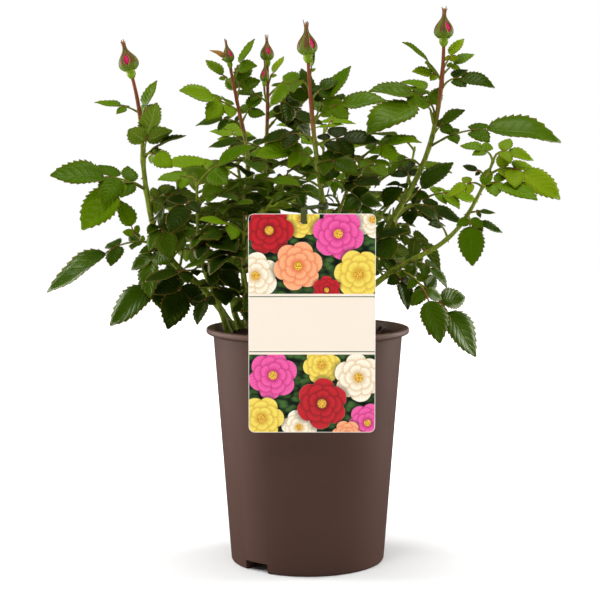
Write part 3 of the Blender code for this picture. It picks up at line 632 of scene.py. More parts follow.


# Each shoot is one cane with all that it carries: where its foot stands, its heading, its leans at even
# shares of its length, its length, its radius at the foot, its bud's width, its leaves, and the stretch
# that fills with more. A leaf is its share of the length, its heading, the rise of its stalk at the stem,
# the rise of its end leaflet, its reach in millimetres, its leaflets and its roll, then, where they are
# given, the size of its side leaflets and its tone.
# The deep and dark tones given here are partly painted shade for leaves inside the crown.
shoots = {
    "left_outer": dict(
        foot=(-0.071, 0.018), heading=188, leans=(27, 52, 12, 1, 15),
        length=0.266, radius=0.0036, bud=0.0175,
        leaves=((0.60, -162, 28, 2, 92, 5, 34, 0.9), (0.60, -150, 34, -52, 84, 3, 45, 0.3, "fresh"),
                (0.40, -172, 10, -36, 120, 5, 20, 0.5), (0.40, -172, 5, 75, 62, 7, 70, 0.5, "fresh"),
                (0.21, -162, 18, -38, 98, 5, 28, 0.8), (0.24, -110, 0, -58, 68, 3, 28),
                (0.47, -45, 60, 30, 62, 5, -30, 1.0, "dark"), (0.705, -56, 75, 58, 60, 3, 0),
                (0.72, -45, 20, -25, 44, 3, -55, 0.5, "fresh"), (0.87, 180, 30, 8, 44, 3, 25, 0.6),
                (0.82, 40, 80, 66, 48, 3, 0, 0.8), (0.70, -15, 60, 20, 50, 3, -20, 0.6, "dark")),
        fill=(0.25, 0.55)),
    "left_inner": dict(
        foot=(-0.074, -0.006), heading=215, leans=(20, 27, 3, -1),
        length=0.149, radius=0.0032, bud=0.0,
        leaves=((0.99, -160, 30, -10, 38, 3, 35, 0.9, "fresh"),
                (0.80, -120, 60, -50, 58, 3, 10, 0.8, "dark"),
                (0.42, -150, 10, -10, 62, 5, 10, 0.7, "dark"),
                (0.60, -60, 20, -10, 72, 5, -20, 1.0, "dark"),
                (0.96, -25, 52, 22, 70, 3, -40, 1.0, "mid"),
                (0.26, -125, 10, -60, 40, 3, 0, 0.8, "dark")),
        fill=(0.18, 0.95)),
    "left_upright": dict(
        foot=(-0.063, 0.034), heading=180, leans=(36, -14, -4, 22),
        length=0.127, radius=0.0033, bud=0.0,
        leaves=((0.98, 180, 60, 20, 62, 5, 35), (0.85, 20, 45, 10, 66, 5, -30),
                (0.60, 150, 30, 0, 74, 5, 0)),
        fill=(0.15, 0.95)),
    "second_bud": dict(
        foot=(-0.058, 0.057), heading=185, leans=(6, 4, -10, 13, 10),
        length=0.253, radius=0.0032, bud=0.0105,
        leaves=((0.825, -150, 30, 12, 66, 5, 40), (0.755, 155, 45, -10, 58, 5, 30, 0.6),
                (0.865, 60, 75, 62, 46, 3, -10), (0.93, 25, 75, 60, 50, 3, 0),
                (0.92, 172, 50, 42, 38, 3, 30, 0.4, "fresh"),
                (0.58, -120, 30, 0, 60, 5, 20, 1.0, "dark"), (0.60, 80, 30, 0, 80, 5, 0),
                (0.54, -30, 25, -10, 62, 5, -20), (0.995, 175, 70, 35, 27, 3, 30, 0.4, "russet"),
                (0.78, 40, 60, 50, 40, 3, -20)),
        fill=(0.26, 0.60)),
    "middle_back": dict(
        foot=(-0.030, 0.036), heading=107, leans=(30, 17, -14, 5),
        length=0.262, radius=0.0030, bud=0.0125,
        leaves=((0.76, 30, 48, 38, 66, 3, -25), (0.72, -25, 10, -30, 46, 5, -35),
                (0.68, 160, 30, 0, 64, 5, 25), (0.60, 60, 30, -10, 84, 5, 0),
                (0.84, 0, 40, -60, 64, 3, -30, 1.0, "dark"), (0.88, 15, 50, 20, 50, 3, -25),
                (0.80, -5, 30, -20, 58, 5, -30, 1.0, "dark"),
                (0.92, 20, 72, 60, 34, 3, -10, 0.4, "young"), (0.86, 170, 40, 15, 36, 3, 30, 0.6)),
        fill=(0.26, 0.62)),
    "middle_front": dict(
        foot=(0.021, -0.018), heading=246, leans=(-1, 7, 22, 15, 8),
        length=0.254, radius=0.0034, bud=0.0170,
        leaves=((0.89, -170, 70, -45, 50, 3, 30), (0.765, 10, 75, 55, 66, 3, -30, 0.8),
                (0.78, -12, 50, 8, 72, 5, -38, 0.7, "mid"),
                (0.64, -165, 35, 0, 58, 5, 45, 0.8, "fresh"), (0.62, -45, 35, -18, 52, 5, -30),
                (0.60, 110, 30, 0, 66, 5, 0), (0.70, 10, 25, 0, 60, 5, -35, 1.0, "dark"),
                (0.82, 120, 70, 70, 44, 3, 0), (0.72, 178, 30, -12, 54, 3, 30, 1.0, "dark"),
                (0.855, 30, 60, 30, 38, 3, -30), (0.925, 30, 80, 84, 32, 3, 0, 0.3, "young")),
        fill=(0.58, 0.66)),
    "middle_low": dict(
        foot=(0.036, -0.046), heading=200, leans=(2, 18, -20, -30),
        length=0.172, radius=0.0026, bud=0.0,
        leaves=((0.99, -10, 40, 10, 56, 5, -30), (0.88, 170, 30, 0, 54, 3, 30),
                (0.78, -60, 50, -10, 58, 5, -20)),
        fill=(0.76, 0.95)),
    "right_tall": dict(
        foot=(0.029, 0.004), heading=-5, leans=(11, 32, 31, 11, 0),
        length=0.288, radius=0.0036, bud=0.0170,
        leaves=((0.76, -165, 75, 0, 78, 5, 35, 0.85), (0.735, -140, 76, -28, 100, 3, 20, 0.45, "mid"),
                (0.88, -165, 62, 40, 53, 3, 20, 0.5), (0.92, 20, 60, 52, 36, 3, -20, 0.6),
                (0.85, -15, 60, -10, 56, 3, -35, 0.8, "deep"),
                (0.67, -10, 29, -3, 124, 5, -24, 0.5, "mid"), (0.50, -128, 70, -40, 50, 3, 5, 0.6),
                (0.52, 100, 70, 30, 50, 3, 10, 0.8, "dark"), (0.45, 0, 42, 42, 66, 3, -35, 0.5, "deep"),
                (0.80, 130, 50, 25, 56, 5, 5, 0.7), (0.90, 15, 50, 35, 38, 3, -30, 0.5),
                (0.70, -10, 60, 40, 40, 3, -40, 0.9, "deep"),
                (0.875, -160, 70, 0, 34, 3, 45, 0.7, "young"), (0.60, -165, 45, -45, 58, 3, 10, 0.6)),
        fill=(0.24, 0.34)),
    "right_inner": dict(
        foot=(0.036, 0.030), heading=20, leans=(12, 32, 28, 80),
        length=0.160, radius=0.0026, bud=0.0,
        leaves=((0.98, 10, 20, -10, 54, 5, -30), (0.80, 100, 40, 0, 74, 5, 0),
                (0.80, -15, 30, -30, 66, 5, -25, 0.8, "dark")),
        fill=(0.40, 0.46)),
    "right_low": dict(
        foot=(0.040, -0.026), heading=-18, leans=(0, 51, 65, 31, 19),
        length=0.216, radius=0.0033, bud=0.0,
        leaves=((0.99, 160, 75, 10, 36, 3, 30, 0.9), (0.99, -10, 70, -20, 42, 3, -35, 1.0),
                (0.93, -20, 30, -32, 74, 5, -35, 0.85), (0.83, -45, 55, -22, 72, 5, -25, 0.8),
                (0.735, -85, 20, -80, 60, 3, 0, 0.5, "mid"), (0.70, 0, 25, -25, 40, 3, -25),
                (0.62, 170, 70, 40, 44, 3, 20, 0.8, "dark"),
                (0.88, 180, 35, -35, 36, 3, 40, 0.8, "young"), (0.36, -50, -10, -65, 92, 7, -20, 0.6),
                (0.34, -12, -20, -58, 112, 7, -44, 0.85), (0.93, 165, 30, 20, 24, 3, 30, 0.6, "dark"),
                (0.76, 0, 10, -5, 24, 3, -30, 0.6, "deep"), (0.34, -62, 0, -66, 46, 3, 5, 0.8, "dark")),
        fill=(0.30, 0.38)),
    "back_left": dict(
        foot=(-0.030, 0.066), heading=122, leans=(15, 35, 30, 20, 15),
        length=0.196, radius=0.0032, bud=0.0,
        leaves=((0.98, 100, 50, 30, 60, 5, 0), (0.82, 175, 35, 0, 84, 5, 20),
                (0.68, 50, 30, -10, 90, 5, 0), (0.90, -20, 40, 10, 66, 5, -20)),
        fill=(0.28, 0.72)),
    "back_middle": dict(
        foot=(0.006, 0.056), heading=84, leans=(10, 42, 36, 14),
        length=0.228, radius=0.0030, bud=0.0,
        leaves=((0.97, 60, 50, 20, 58, 5, 0), (0.84, -10, 40, 10, 66, 5, -25),
                (0.70, 150, 30, -10, 86, 5, 20), (0.90, -150, 45, 20, 60, 5, 20)),
        fill=(0.28, 0.92)),
    "back_right": dict(
        foot=(0.040, 0.052), heading=42, leans=(12, 40, 38, 20, 14),
        length=0.200, radius=0.0032, bud=0.0,
        leaves=((0.98, 150, 50, 10, 56, 5, 10, 1.0, "deep"), (0.84, 45, 35, 0, 72, 5, 0),
                (0.70, 110, 30, -10, 90, 5, 0), (0.90, -160, 45, 20, 62, 5, 20)),
        fill=(0.28, 0.72)),
    "front_left": dict(
        foot=(-0.048, -0.034), heading=225, leans=(5, 20, 5, -5),
        length=0.098, radius=0.0026, bud=0.0,
        leaves=((0.97, -140, 40, 10, 52, 3, 20), (0.75, 170, 20, -20, 60, 3, 20)),
        fill=(0.15, 0.95)),
}
cane = {
    "steps": 40, "rings": 84, "sides": 14, "foot": 0.2153, "flare": 1.35, "flareShare": 0.06,
    "tipTaper": 0.44, "bareTaper": 0.34, "bareRipe": 0.62,  # only a budded cane reddens at its top
    "collar": 0.006, "node": (0.13, 0.004), "ridges": (420.0, 60.0, 0.05), "dents": (130.0, 0.07),
    "prickles": 50, "prickleFrom": 0.05, "prickleSpan": 0.83, "prickle": (0.0028, 0.0044),
    "prickleTaper": (1.15, 0.5), "prickleSeat": 0.6,
    "hook": ((0.0, 0.0, 0.42), (0.25, -0.02, 0.30), (0.55, -0.10, 0.17), (0.80, -0.24, 0.08),
             (1.0, -0.42, 0.012)),  # a prickle's reach, drop and half width, as shares of its size
}


class ShootLine:  # a shoot's middle line, whose lean changes evenly from each named lean to the next
    def __init__(self, shoot):
        heading = math.radians(shoot["heading"])
        leans = shoot["leans"]
        self.points = [Vector((*shoot["foot"], cane["foot"]))]
        for index in range(cane["steps"]):
            place = (index + 0.5) / cane["steps"] * (len(leans) - 1)
            low = min(int(place), len(leans) - 2)
            lean = math.radians(leans[low] + (leans[low + 1] - leans[low]) * (place - low))
            out = math.sin(lean)
            ahead = Vector((out * math.cos(heading), out * math.sin(heading), math.cos(lean)))
            self.points.append(self.points[-1] + shoot["length"] / cane["steps"] * ahead)

    def at(self, share):
        place = min(max(share, 0.0), 1.0) * cane["steps"]
        low = min(int(place), cane["steps"] - 1)
        return self.points[low].lerp(self.points[low + 1], place - low)

    def along(self, share):
        low = max(share - 0.5 / cane["steps"], 0.0)
        high = min(share + 0.5 / cane["steps"], 1.0)
        return (self.at(high) - self.at(low)).normalized()


def caneRadius(shoot, share):
    taper = cane["tipTaper"] if shoot["bud"] else cane["bareTaper"]
    radius = shoot["radius"] * (1.0 - (1.0 - taper) * share)
    if share < cane["flareShare"]:
        radius *= 1.0 + (cane["flare"] - 1.0) * (1.0 - share / cane["flareShare"]) ** 2
    return radius


def barkFinish(name, young, old, red):
    bark = Finish(name, 0.15)
    share = bark.attribute("share")
    tone = bark.attribute("tone")
    place = bark.place()
    streak = bark.streaks(place, (900.0, 900.0, 120.0))
    blotch = bark.grain(place, 90.0, 3.0)
    pore = bark.grain(place, 1500.0, 2.0)
    colour = bark.mix(bark.rise(streak, 0.35, 0.65), old, young)
    colour = bark.mix(bark.rise(blotch, 0.58, 0.78) * 0.30, colour, red)
    blush = bark.rise(share + 0.06 * (tone - 0.5) + 0.10 * (blotch - 0.5), 0.68, 0.86)
    colour = bark.mix(blush, colour, red)
    colour = bark.mix(bark.rise(pore, 0.62, 0.72) * 0.35, colour, paint(176, 160, 110))
    return bark.wear(colour, 0.42 + 0.25 * streak, streak + 0.4 * pore, 0.0006, 0.5)


def growCane(shoot, line, chance):
    shares = [index / cane["rings"] for index in range(cane["rings"] + 1)]
    shares.insert(1, cane["collar"])
    points = [line.at(share) for share in shares]
    radii = [caneRadius(shoot, share) for share in shares]
    swelling, spread = cane["node"]
    for index, share in enumerate(shares):
        for joint, *_ in shoot["leaves"]:
            away = (share - joint) * shoot["length"] / spread
            radii[index] *= 1.0 + swelling * math.exp(-away * away)
    ripeness = [share if shoot["bud"] else cane["bareRipe"] * share for share in shares]
    bm = tube(points, radii, cane["sides"], ripeness, chance.random(), up)
    fine, drawn, ridges = cane["ridges"]
    coarse, dents = cane["dents"]
    for vert in bm.verts:
        ridge = noise.noise(Vector((vert.co.x * fine, vert.co.y * fine, vert.co.z * drawn)))
        dent = noise.noise(vert.co * coarse)
        near = min(points, key=lambda point: (point - vert.co).length_squared)
        vert.co += (vert.co - near) * (ridges * ridge + dents * dent)
    return bm


def growPrickles(shoot, line, chance):
    bm = bmesh.new()
    count = int(cane["prickles"] * shoot["length"])
    most, less = cane["prickleTaper"]
    for index in range(count):
        share = cane["prickleFrom"] + cane["prickleSpan"] * (index + chance.uniform(0.1, 0.9)) / count
        along = line.along(share)
        out = Matrix.Rotation(chance.uniform(0, math.tau), 3, along) @ along.orthogonal().normalized()
        size = chance.uniform(*cane["prickle"]) * (most - less * share)
        start = line.at(share) + cane["prickleSeat"] * caneRadius(shoot, share) * out
        points = [start + size * (reach * out + drop * along) for reach, drop, _ in cane["hook"]]
        radii = [size * width for *_, width in cane["hook"]]
        pour(tube(points, radii, 6, tone=chance.random(), first=out), bm)
    return bm


# Leaves, mostly in shares of their reach and degrees
leafForm = {
    "endShares": {1: 0.58, 2: 0.55, 3: 0.43}, "sideShares": (0.78, 0.54, 0.44),
    "splays": (66.0, 84.0, 98.0), "sag": 16.0, "wobble": 8.0, "match": (0.93, 1.04),
    "stalkShare": 0.11, "spacingShare": 0.16, "ratio": 0.64, "thickness": 0.00035, "puff": 0.028,
    "fold": (0.10, 0.32), "curl": (0.02, 0.20), "twist": 0.25, "bow": 0.06, "wave": 0.015, "waves": 9.0,
    "straight": 0.22, "stalkSteps": 10, "stalk": (0.00130, 0.00060), "stalkFoot": 0.0019, "stalkSides": 6,
    "seat": 0.0006, "stipule": 0.14, "stipuleWidths": (0.10, 0.13, 0.12, 0.16, 0.0), "stipuleFoot": 0.0025,
    "stipuleGap": 0.05, "stipuleCup": 0.10, "veins": 7.0, "veinLean": 2.1,
    "large": (10, 0.046), "small": (7, 0.050), "largeFrom": 0.030,  # rows and teeth of the two templates
    "toothAt": 0.90, "toothLeast": 0.35, "crowding": 1.12,
}
crown = {
    "width": 0.150, "depth": 0.165, "top": 0.395, "edgeTop": 0.330, "margin": 0.0025,
    "pitch": 0.0100, "tries": 7, "spiral": 137.5, "stray": 25.0, "rise": (10, 55), "drop": (40, 100),
    "reach": (0.048, 0.082), "roll": 45.0,
    "twig": (0.022, 0.045), "twigTurn": 60.0, "twigRise": (25, 70), "twigBend": 0.12, "twigSides": 7,
    "twigRadii": (0.0015, 0.0014, 0.0013, 0.0012, 0.0011, 0.0008),
    "twigLeaves": ((0.55, 75), (0.80, -70), (1.0, 5)), "twigStray": 20.0, "twigLift": (10, 50),
    "twigDrop": (15, 60), "twigReach": (0.040, 0.068), "twigRoll": 35.0,
    "tone": 2.3, "inside": 1.9, "spread": 0.17, "tip": 1.6, "old": 0.6, "height": 4.0, "level": 0.33,
    "luck": 0.8,  # these last eight deal a leaf its tone; inside darkens leaves near the middle of the crown as painted shade
}
masses = {  # each piece of leaves, and the shoots whose leaves it holds
    "leaves_left": ("left_outer", "left_inner", "left_upright", "front_left"),
    "leaves_middle": ("second_bud", "middle_back", "middle_front", "middle_low"),
    "leaves_right": ("right_tall", "right_inner", "right_low"),
    "leaves_back": ("back_left", "back_middle", "back_right"),
}
# deep and dark are darker copies of the leaf green, partly painted shade for leaves inside the crown
tones = ("young", "fresh", "mid", "deep", "dark", "russet")
leafColours = {  # top, vein, underside
    "young": (paint(98, 124, 4), paint(124, 146, 18), paint(118, 138, 26)),
    "fresh": (paint(81, 112, 1), paint(108, 134, 12), paint(110, 134, 22)),
    "mid": (paint(60, 88, 1), paint(84, 108, 8), paint(94, 118, 20)),
    "deep": (paint(41, 63, 1), paint(62, 84, 6), paint(78, 98, 16)),
    "dark": (paint(22, 37, 1), paint(40, 57, 4), paint(54, 72, 12)),
    "russet": (paint(134, 104, 22), paint(150, 84, 40), paint(146, 92, 44)),
}


def leafOutline(reach):  # half width of a leaflet at a share of its length, as a share of its greatest
    low, high = 0.62, 0.94
    widest = low / (low + high)
    return (reach / widest) ** low * (max(1.0 - reach, 0.0) / (1.0 - widest)) ** high


def mapBlade(bm, width=1.0, middle=0.5):  # gives a blade that is still flat its place across and along
    layer = bm.loops.layers.uv.new("blade")
    for face in bm.faces:
        for corner in face.loops:
            corner[layer].uv = (width * corner.vert.co.x + middle, corner.vert.co.y + 0.5)


def leafletTemplate(rows, tooth):  # a leaflet of length 1 whose margin has a tooth to each row
    bm = bmesh.new()
    bmesh.ops.create_grid(bm, x_segments=4, y_segments=rows, size=0.5)
    margin = [edge for edge in bm.edges if all(abs(vert.co.x) > 0.499 for vert in edge.verts)
              and edge.verts[0].co.x * edge.verts[1].co.x > 0 and edge.is_boundary]
    for edge in margin:
        low, high = sorted(edge.verts, key=lambda vert: vert.co.y)
        tip = low.co.lerp(high.co, leafForm["toothAt"])
        tip.x += math.copysign(tooth, tip.x)
        grown = bmesh.ops.extrude_edge_only(bm, edges=[edge])["geom"]
        ends = [part for part in grown if isinstance(part, bmesh.types.BMVert)]
        bmesh.ops.pointmerge(bm, verts=ends, merge_co=tip)
    bm.normal_update()
    bmesh.ops.reverse_faces(bm, faces=[face for face in bm.faces if face.normal.z < 0])
    mapBlade(bm)
    half = leafForm["ratio"] / 2.0
    for vert in bm.verts:
        share = vert.co.x / 0.5
        reach = (vert.co.y + 0.5) ** leafForm["crowding"]
        inside = max(min(share, 1.0), -1.0)
        wide = half * leafOutline(reach)
        past = (share - inside) * 0.5 * min(wide / half + leafForm["toothLeast"], 1.0)
        puff = leafForm["puff"] * (1.0 - (2.0 * abs(inside) - 1.0) ** 2) * wide / half
        vert.co = (inside * wide + past, reach, puff)
    bmesh.ops.remove_doubles(bm, verts=bm.verts, dist=1e-4)
    return asMesh(bm, "leaflet")


def stipuleTemplate():  # the narrow wing at each side of a leaf stalk's foot
    bm = bmesh.new()
    bmesh.ops.create_grid(bm, x_segments=1, y_segments=4, size=0.5)
    mapBlade(bm, 0.1, 0.75)
    for vert in bm.verts:
        reach = vert.co.y + 0.5
        width = leafForm["stipuleWidths"][round(reach * 4)]
        vert.co = (width * (vert.co.x + 0.5) + (0.10 if reach > 0.9 else 0.0), reach, 0.0)
    bmesh.ops.remove_doubles(bm, verts=bm.verts, dist=1e-4)
    return asMesh(bm, "stipule")


def veinMap(leaf, waver, sideFrom):  # how far from the midrib, how near a side vein, and the side veins
    across, reach, _ = leaf.parts(leaf.blade())
    away = abs(across * 2.0 - 1.0)
    rib = leaf.math("FRACT", reach * leafForm["veins"] - away * leafForm["veinLean"] + waver)
    rib = abs(rib * 2.0 - 1.0)
    return away, rib, leaf.rise(rib, sideFrom, 0.98) * (1.0 - leaf.rise(away, 0.80, 1.0))


def leafFinish(tone):
    top, vein, _ = leafColours[tone]
    leaf = Finish("leaf " + tone, 0.15, {"Specular Tint": (0.85, 1.0, 0.20, 1.0)})
    away, rib, side = veinMap(leaf, 0.06 * leaf.grain(leaf.blade(), 9.0), 0.76)
    middle = 1.0 - leaf.rise(away, 0.015, 0.07)
    veins = leaf.math("MAXIMUM", side * 0.45, middle)
    place = leaf.place()
    blotch = leaf.grain(place, 55.0, 2.0) + 0.6 * (leaf.attribute("tone") - 0.5)
    fine = leaf.grain(place, 900.0, 2.0)
    colour = leaf.mix(leaf.rise(blotch, 0.25, 0.80), top, leaf.mix(0.5, top, vein))
    colour = leaf.mix(veins * 0.45, colour, vein)
    colour = leaf.mix(leaf.rise(away, 0.97, 1.02) * 0.40, colour, paint(116, 80, 30))
    quilt = 1.0 - leaf.math("POWER", rib, 3.0)
    return leaf.wear(colour, 0.27 + 0.12 * fine, quilt - 0.8 * middle, 0.0008, 0.32)


def underFinish(tone):
    *_, under = leafColours[tone]
    leaf = Finish("leaf underside " + tone, 0.03)
    away, _, side = veinMap(leaf, 0.0, 0.70)
    veins = leaf.math("MAXIMUM", side, 1.0 - leaf.rise(away, 0.02, 0.10))
    mottle = leaf.grain(leaf.place(), 300.0)
    colour = leaf.mix(mottle, under, leaf.mix(0.25, under, paint(90, 108, 40)))
    colour = leaf.mix(veins * 0.4, colour, paint(160, 172, 84))
    return leaf.wear(colour, 0.66, veins, 0.0008, 0.6)


def rimFinish():
    rim = Finish("leaf margin", 0.1)
    patch = rim.grain(rim.place(), 240.0, 2.0)
    return rim.wear(rim.mix(rim.rise(patch, 0.35, 0.6), paint(86, 98, 30), paint(114, 84, 36)), 0.6)


def towards(turn, tilt):  # a direction, from its heading and its rise in radians
    return Vector((math.cos(tilt) * math.cos(turn), math.cos(tilt) * math.sin(turn), math.sin(tilt)))


def planLeaf(base, values):  # the line of its stalk and where its leaflets go
    heading, rise, fall, reach, count, roll, _ = values
    steps, straight = leafForm["stalkSteps"], leafForm["straight"]
    pairs = (count - 1) // 2
    endLength = reach * leafForm["endShares"][pairs]
    spacing = reach * leafForm["spacingShare"]
    petiole = reach - endLength - reach * leafForm["stalkShare"] - spacing * (pairs - 1)
    whole = reach - endLength
    turn = math.radians(heading)
    points = [base.copy()]
    directions = []
    for step in range(steps):
        place = max((step + 0.5) / steps - straight, 0.0) / (1.0 - straight)
        directions.append(towards(turn, math.radians(rise + (fall - rise) * place)))
        points.append(points[-1] + whole / steps * directions[-1])
    side = Vector((math.sin(turn), -math.cos(turn), 0.0))
    side = Matrix.Rotation(math.radians(-roll), 3, directions[-1]) @ side
    normal = side.cross(directions[-1])
    spots = []
    for pair in range(pairs):
        place = (petiole + spacing * pair) / whole * steps
        low = min(int(place), steps - 1)
        spots.append((points[low].lerp(points[low + 1], place - low), directions[low], pairs - 1 - pair))
    end = (points[-1], directions[-1], endLength)
    return {"points": points, "end": end, "side": side, "normal": normal, "spots": spots}


def stamp(bm, template, slot, tone, placed):  # adds a template, each of its corners where placed puts it
    known, faces = len(bm.verts), len(bm.faces)
    bm.from_mesh(templates[template])
    bm.verts.ensure_lookup_table()
    bm.faces.ensure_lookup_table()
    toneLayer = bm.verts.layers.float["tone"]
    for vert in bm.verts[known:]:
        vert.co = placed(*vert.co)
        vert[toneLayer] = tone
    for face in bm.faces[faces:]:
        face.material_index = slot


def growBlade(bm, template, base, along, normal, length, slot, tone, chance):
    right = along.cross(normal).normalized()
    rise = right.cross(along)
    fold = chance.uniform(*leafForm["fold"])
    curl = chance.uniform(*leafForm["curl"])
    twist = chance.uniform(-1, 1) * leafForm["twist"]
    bow = chance.uniform(-leafForm["bow"], leafForm["bow"])

    def placed(across, reach, puff):
        turn = twist * reach
        wave = leafForm["wave"] * math.sin(leafForm["waves"] * reach + 40.0 * bow)
        lift = fold * abs(across) + puff - curl * reach * reach + wave
        return base + length * (reach * along + (across + bow * reach * reach) * math.cos(turn) * right
                                + (lift + across * math.sin(turn)) * rise)

    stamp(bm, template, slot, tone, placed)


def growStipule(bm, points, side, length):
    along = (points[2] - points[0]).normalized()
    out = side.cross(along).cross(along).normalized() * -1.0
    rise = out.cross(along)
    start = points[0] + leafForm["stipuleFoot"] * along
    gap, cup = leafForm["stipuleGap"], leafForm["stipuleCup"]

    def placed(across, reach, _):
        return start + length * (reach * along + (across + gap) * out + cup * across * rise)

    stamp(bm, "stipule", tones.index("fresh"), 0.0, placed)


def growLeaf(base, values, slot, chance):  # the blades and the stalk of one leaf
    plan = planLeaf(base, values)
    tone = chance.random()
    blades = bmesh.new()
    blades.loops.layers.uv.new("blade")
    blades.verts.layers.float.new("tone")
    wobble, seat = leafForm["wobble"], leafForm["seat"]
    spot, along, length = plan["end"]
    template = "large" if length > leafForm["largeFrom"] else "small"
    growBlade(blades, template, spot, along, plan["normal"], length, slot, tone, chance)
    for spot, along, outer in plan["spots"]:
        size = length * leafForm["sideShares"][outer] * values[6]
        template = "large" if size > leafForm["largeFrom"] else "small"
        for way in (1.0, -1.0):
            sag = way * (leafForm["sag"] + chance.uniform(-wobble, wobble))
            sag = Matrix.Rotation(math.radians(sag), 3, along)
            splay = leafForm["splays"][outer] + chance.uniform(-wobble, wobble)
            out = sag @ Matrix.Rotation(math.radians(-way * splay), 3, plan["normal"]) @ along
            growBlade(blades, template, spot + seat * out, out, sag @ plan["normal"],
                      size * chance.uniform(*leafForm["match"]), slot, tone, chance)
    points = plan["points"]
    for way in (1.0, -1.0):
        growStipule(blades, points, way * plan["side"], leafForm["stipule"] * values[3])
    thick, taper = leafForm["stalk"]
    radii = [thick - taper * index / (len(points) - 1) for index in range(len(points))]
    radii[0] = leafForm["stalkFoot"]
    start = base - seat * (points[1] - points[0]).normalized()
    return blades, tube([start] + points[1:], radii, leafForm["stalkSides"], tone=tone)


class Room:  # what the filling leaves keep clear of
    def __init__(self):
        self.trees = []
        margin = crown["margin"]
        height = pot["height"] + margin
        guard = bmesh.new()
        bmesh.ops.create_cone(guard, cap_ends=True, segments=32, radius1=pot["foot"] + margin,
                              radius2=pot["rimRadius"] + margin, depth=height,
                              matrix=Matrix.Translation((0, 0, height / 2.0)))
        self.keep(guard, "pot")
        for node in ("label_card", "label_tie"):
            low, high = (Vector(corner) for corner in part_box(node))
            size = Matrix.Diagonal((*(high - low + 2.0 * Vector((margin, margin, margin))), 1.0))
            guard = bmesh.new()
            bmesh.ops.create_cube(guard, size=1.0, matrix=Matrix.Translation((low + high) / 2.0) @ size)
            self.keep(guard, node)

    def keep(self, bm, owner):
        self.trees.append((BVHTree.FromBMesh(bm), owner))

    def clear(self, bm, ownStem):
        if any(vert.co.z < pot["height"] and math.hypot(vert.co.x, vert.co.y) < pot["rimRadius"]
               for vert in bm.verts):
            return False
        tree = BVHTree.FromBMesh(bm)
        return not any(owner != ownStem and tree.overlap(other) for other, owner in self.trees)


def inCrown(point):  # true where a filling leaf's tip stays inside the dense part of the crown
    spread = math.hypot(point.x / crown["width"], point.y / crown["depth"])
    return spread < 1.0 and point.z < crown["top"] + (crown["edgeTop"] - crown["top"]) * spread * spread


def toneOf(base, share, chance):  # darker inside the crown, which is painted shade; younger towards a shoot's tip and the top
    spread, old, luck = crown["spread"], crown["old"], crown["luck"]
    # leaves near the crown's middle are dealt darker tones: painted shade
    inside = 1.0 - min(math.hypot(base.x / spread, base.y / spread), 1.0)
    shade = (crown["tone"] + crown["inside"] * inside - crown["tip"] * max(share - old, 0.0) / (1.0 - old)
             - crown["height"] * (base.z - crown["level"]) + chance.uniform(-luck, luck))
    return int(min(max(round(shade), 0), tones.index("dark")))


def growTwig(base, heading, chance):  # a finer twig and the leaves that it carries
    rise = math.radians(chance.uniform(*crown["twigRise"]))
    turn = math.radians(heading)
    length = chance.uniform(*crown["twig"])
    points = [base]
    for step in range(5):
        points.append(points[-1] + length / 5 * towards(turn, rise + crown["twigBend"] * step))
    leaves = []
    stray, roll = crown["twigStray"], crown["twigRoll"]
    for share, swing in crown["twigLeaves"]:
        lift = chance.uniform(*crown["twigLift"])
        values = (heading + swing + chance.uniform(-stray, stray), lift,
                  lift - chance.uniform(*crown["twigDrop"]), chance.uniform(*crown["twigReach"]),
                  chance.choice((3, 5, 5)), chance.uniform(-roll, roll))
        leaves.append((points[0].lerp(points[-1], share), values))
    return points, leaves


def growCrown():
    room = Room()
    lines = {name: ShootLine(shoot) for name, shoot in shoots.items()}
    canes, prickles, stalks = bmesh.new(), bmesh.new(), bmesh.new()
    leaves = {name: [] for name in shoots}
    stray, roll = crown["stray"], crown["roll"]
    for seed, (name, shoot) in enumerate(shoots.items()):
        chance = random.Random(100 + seed)
        limb = growCane(shoot, lines[name], chance)
        room.keep(limb, "stem " + name)
        pour(limb, canes)
        pour(growPrickles(shoot, lines[name], chance), prickles)

    def settle(name, base, values, share, chance, tone=None, filling=True):
        values = [*values, 1.0][:7]
        slot = toneOf(base, share, chance) if tone is None else tones.index(tone)
        blades, stalk = growLeaf(base, values, slot, chance)
        if filling:
            tip = max((vert.co for vert in blades.verts), key=lambda place: (place - base).length)
            if not inCrown(tip) or not room.clear(blades, "stem " + name):
                blades.free()
                stalk.free()
                return False
        room.keep(blades, "leaf " + name)
        leaves[name].append(blades)
        pour(stalk, stalks)
        return True

    for seed, (name, shoot) in enumerate(shoots.items()):
        chance = random.Random(200 + seed)
        for share, *values in shoot["leaves"]:
            tone = values.pop() if isinstance(values[-1], str) else None
            values[3] /= 1000.0
            settle(name, lines[name].at(share), values, share, chance, tone, False)
    for seed, (name, shoot) in enumerate(shoots.items()):
        chance = random.Random(300 + seed)
        low, high = shoot["fill"]
        count = int((high - low) * shoot["length"] / crown["pitch"]) + 1
        heading = chance.uniform(0, 360)
        for index in range(count):
            share = low + (high - low) * index / max(count - 1, 1)
            base = lines[name].at(share)
            for _ in range(crown["tries"]):
                rise = chance.uniform(*crown["rise"])
                values = (heading + chance.uniform(-stray, stray), rise,
                          rise - chance.uniform(*crown["drop"]), chance.uniform(*crown["reach"]),
                          chance.choice((5, 5, 7)), chance.uniform(-roll, roll))
                heading += crown["spiral"]
                if settle(name, base, values, share, chance):
                    break
            if index % 2:
                points, carried = growTwig(base, heading + crown["twigTurn"], chance)
                if any([settle(name, spot, values, share, chance) for spot, values in carried]):
                    tone = chance.random()
                    pour(tube(points, crown["twigRadii"], crown["twigSides"], tone=tone), stalks)
    return lines, canes, prickles, stalks, leaves


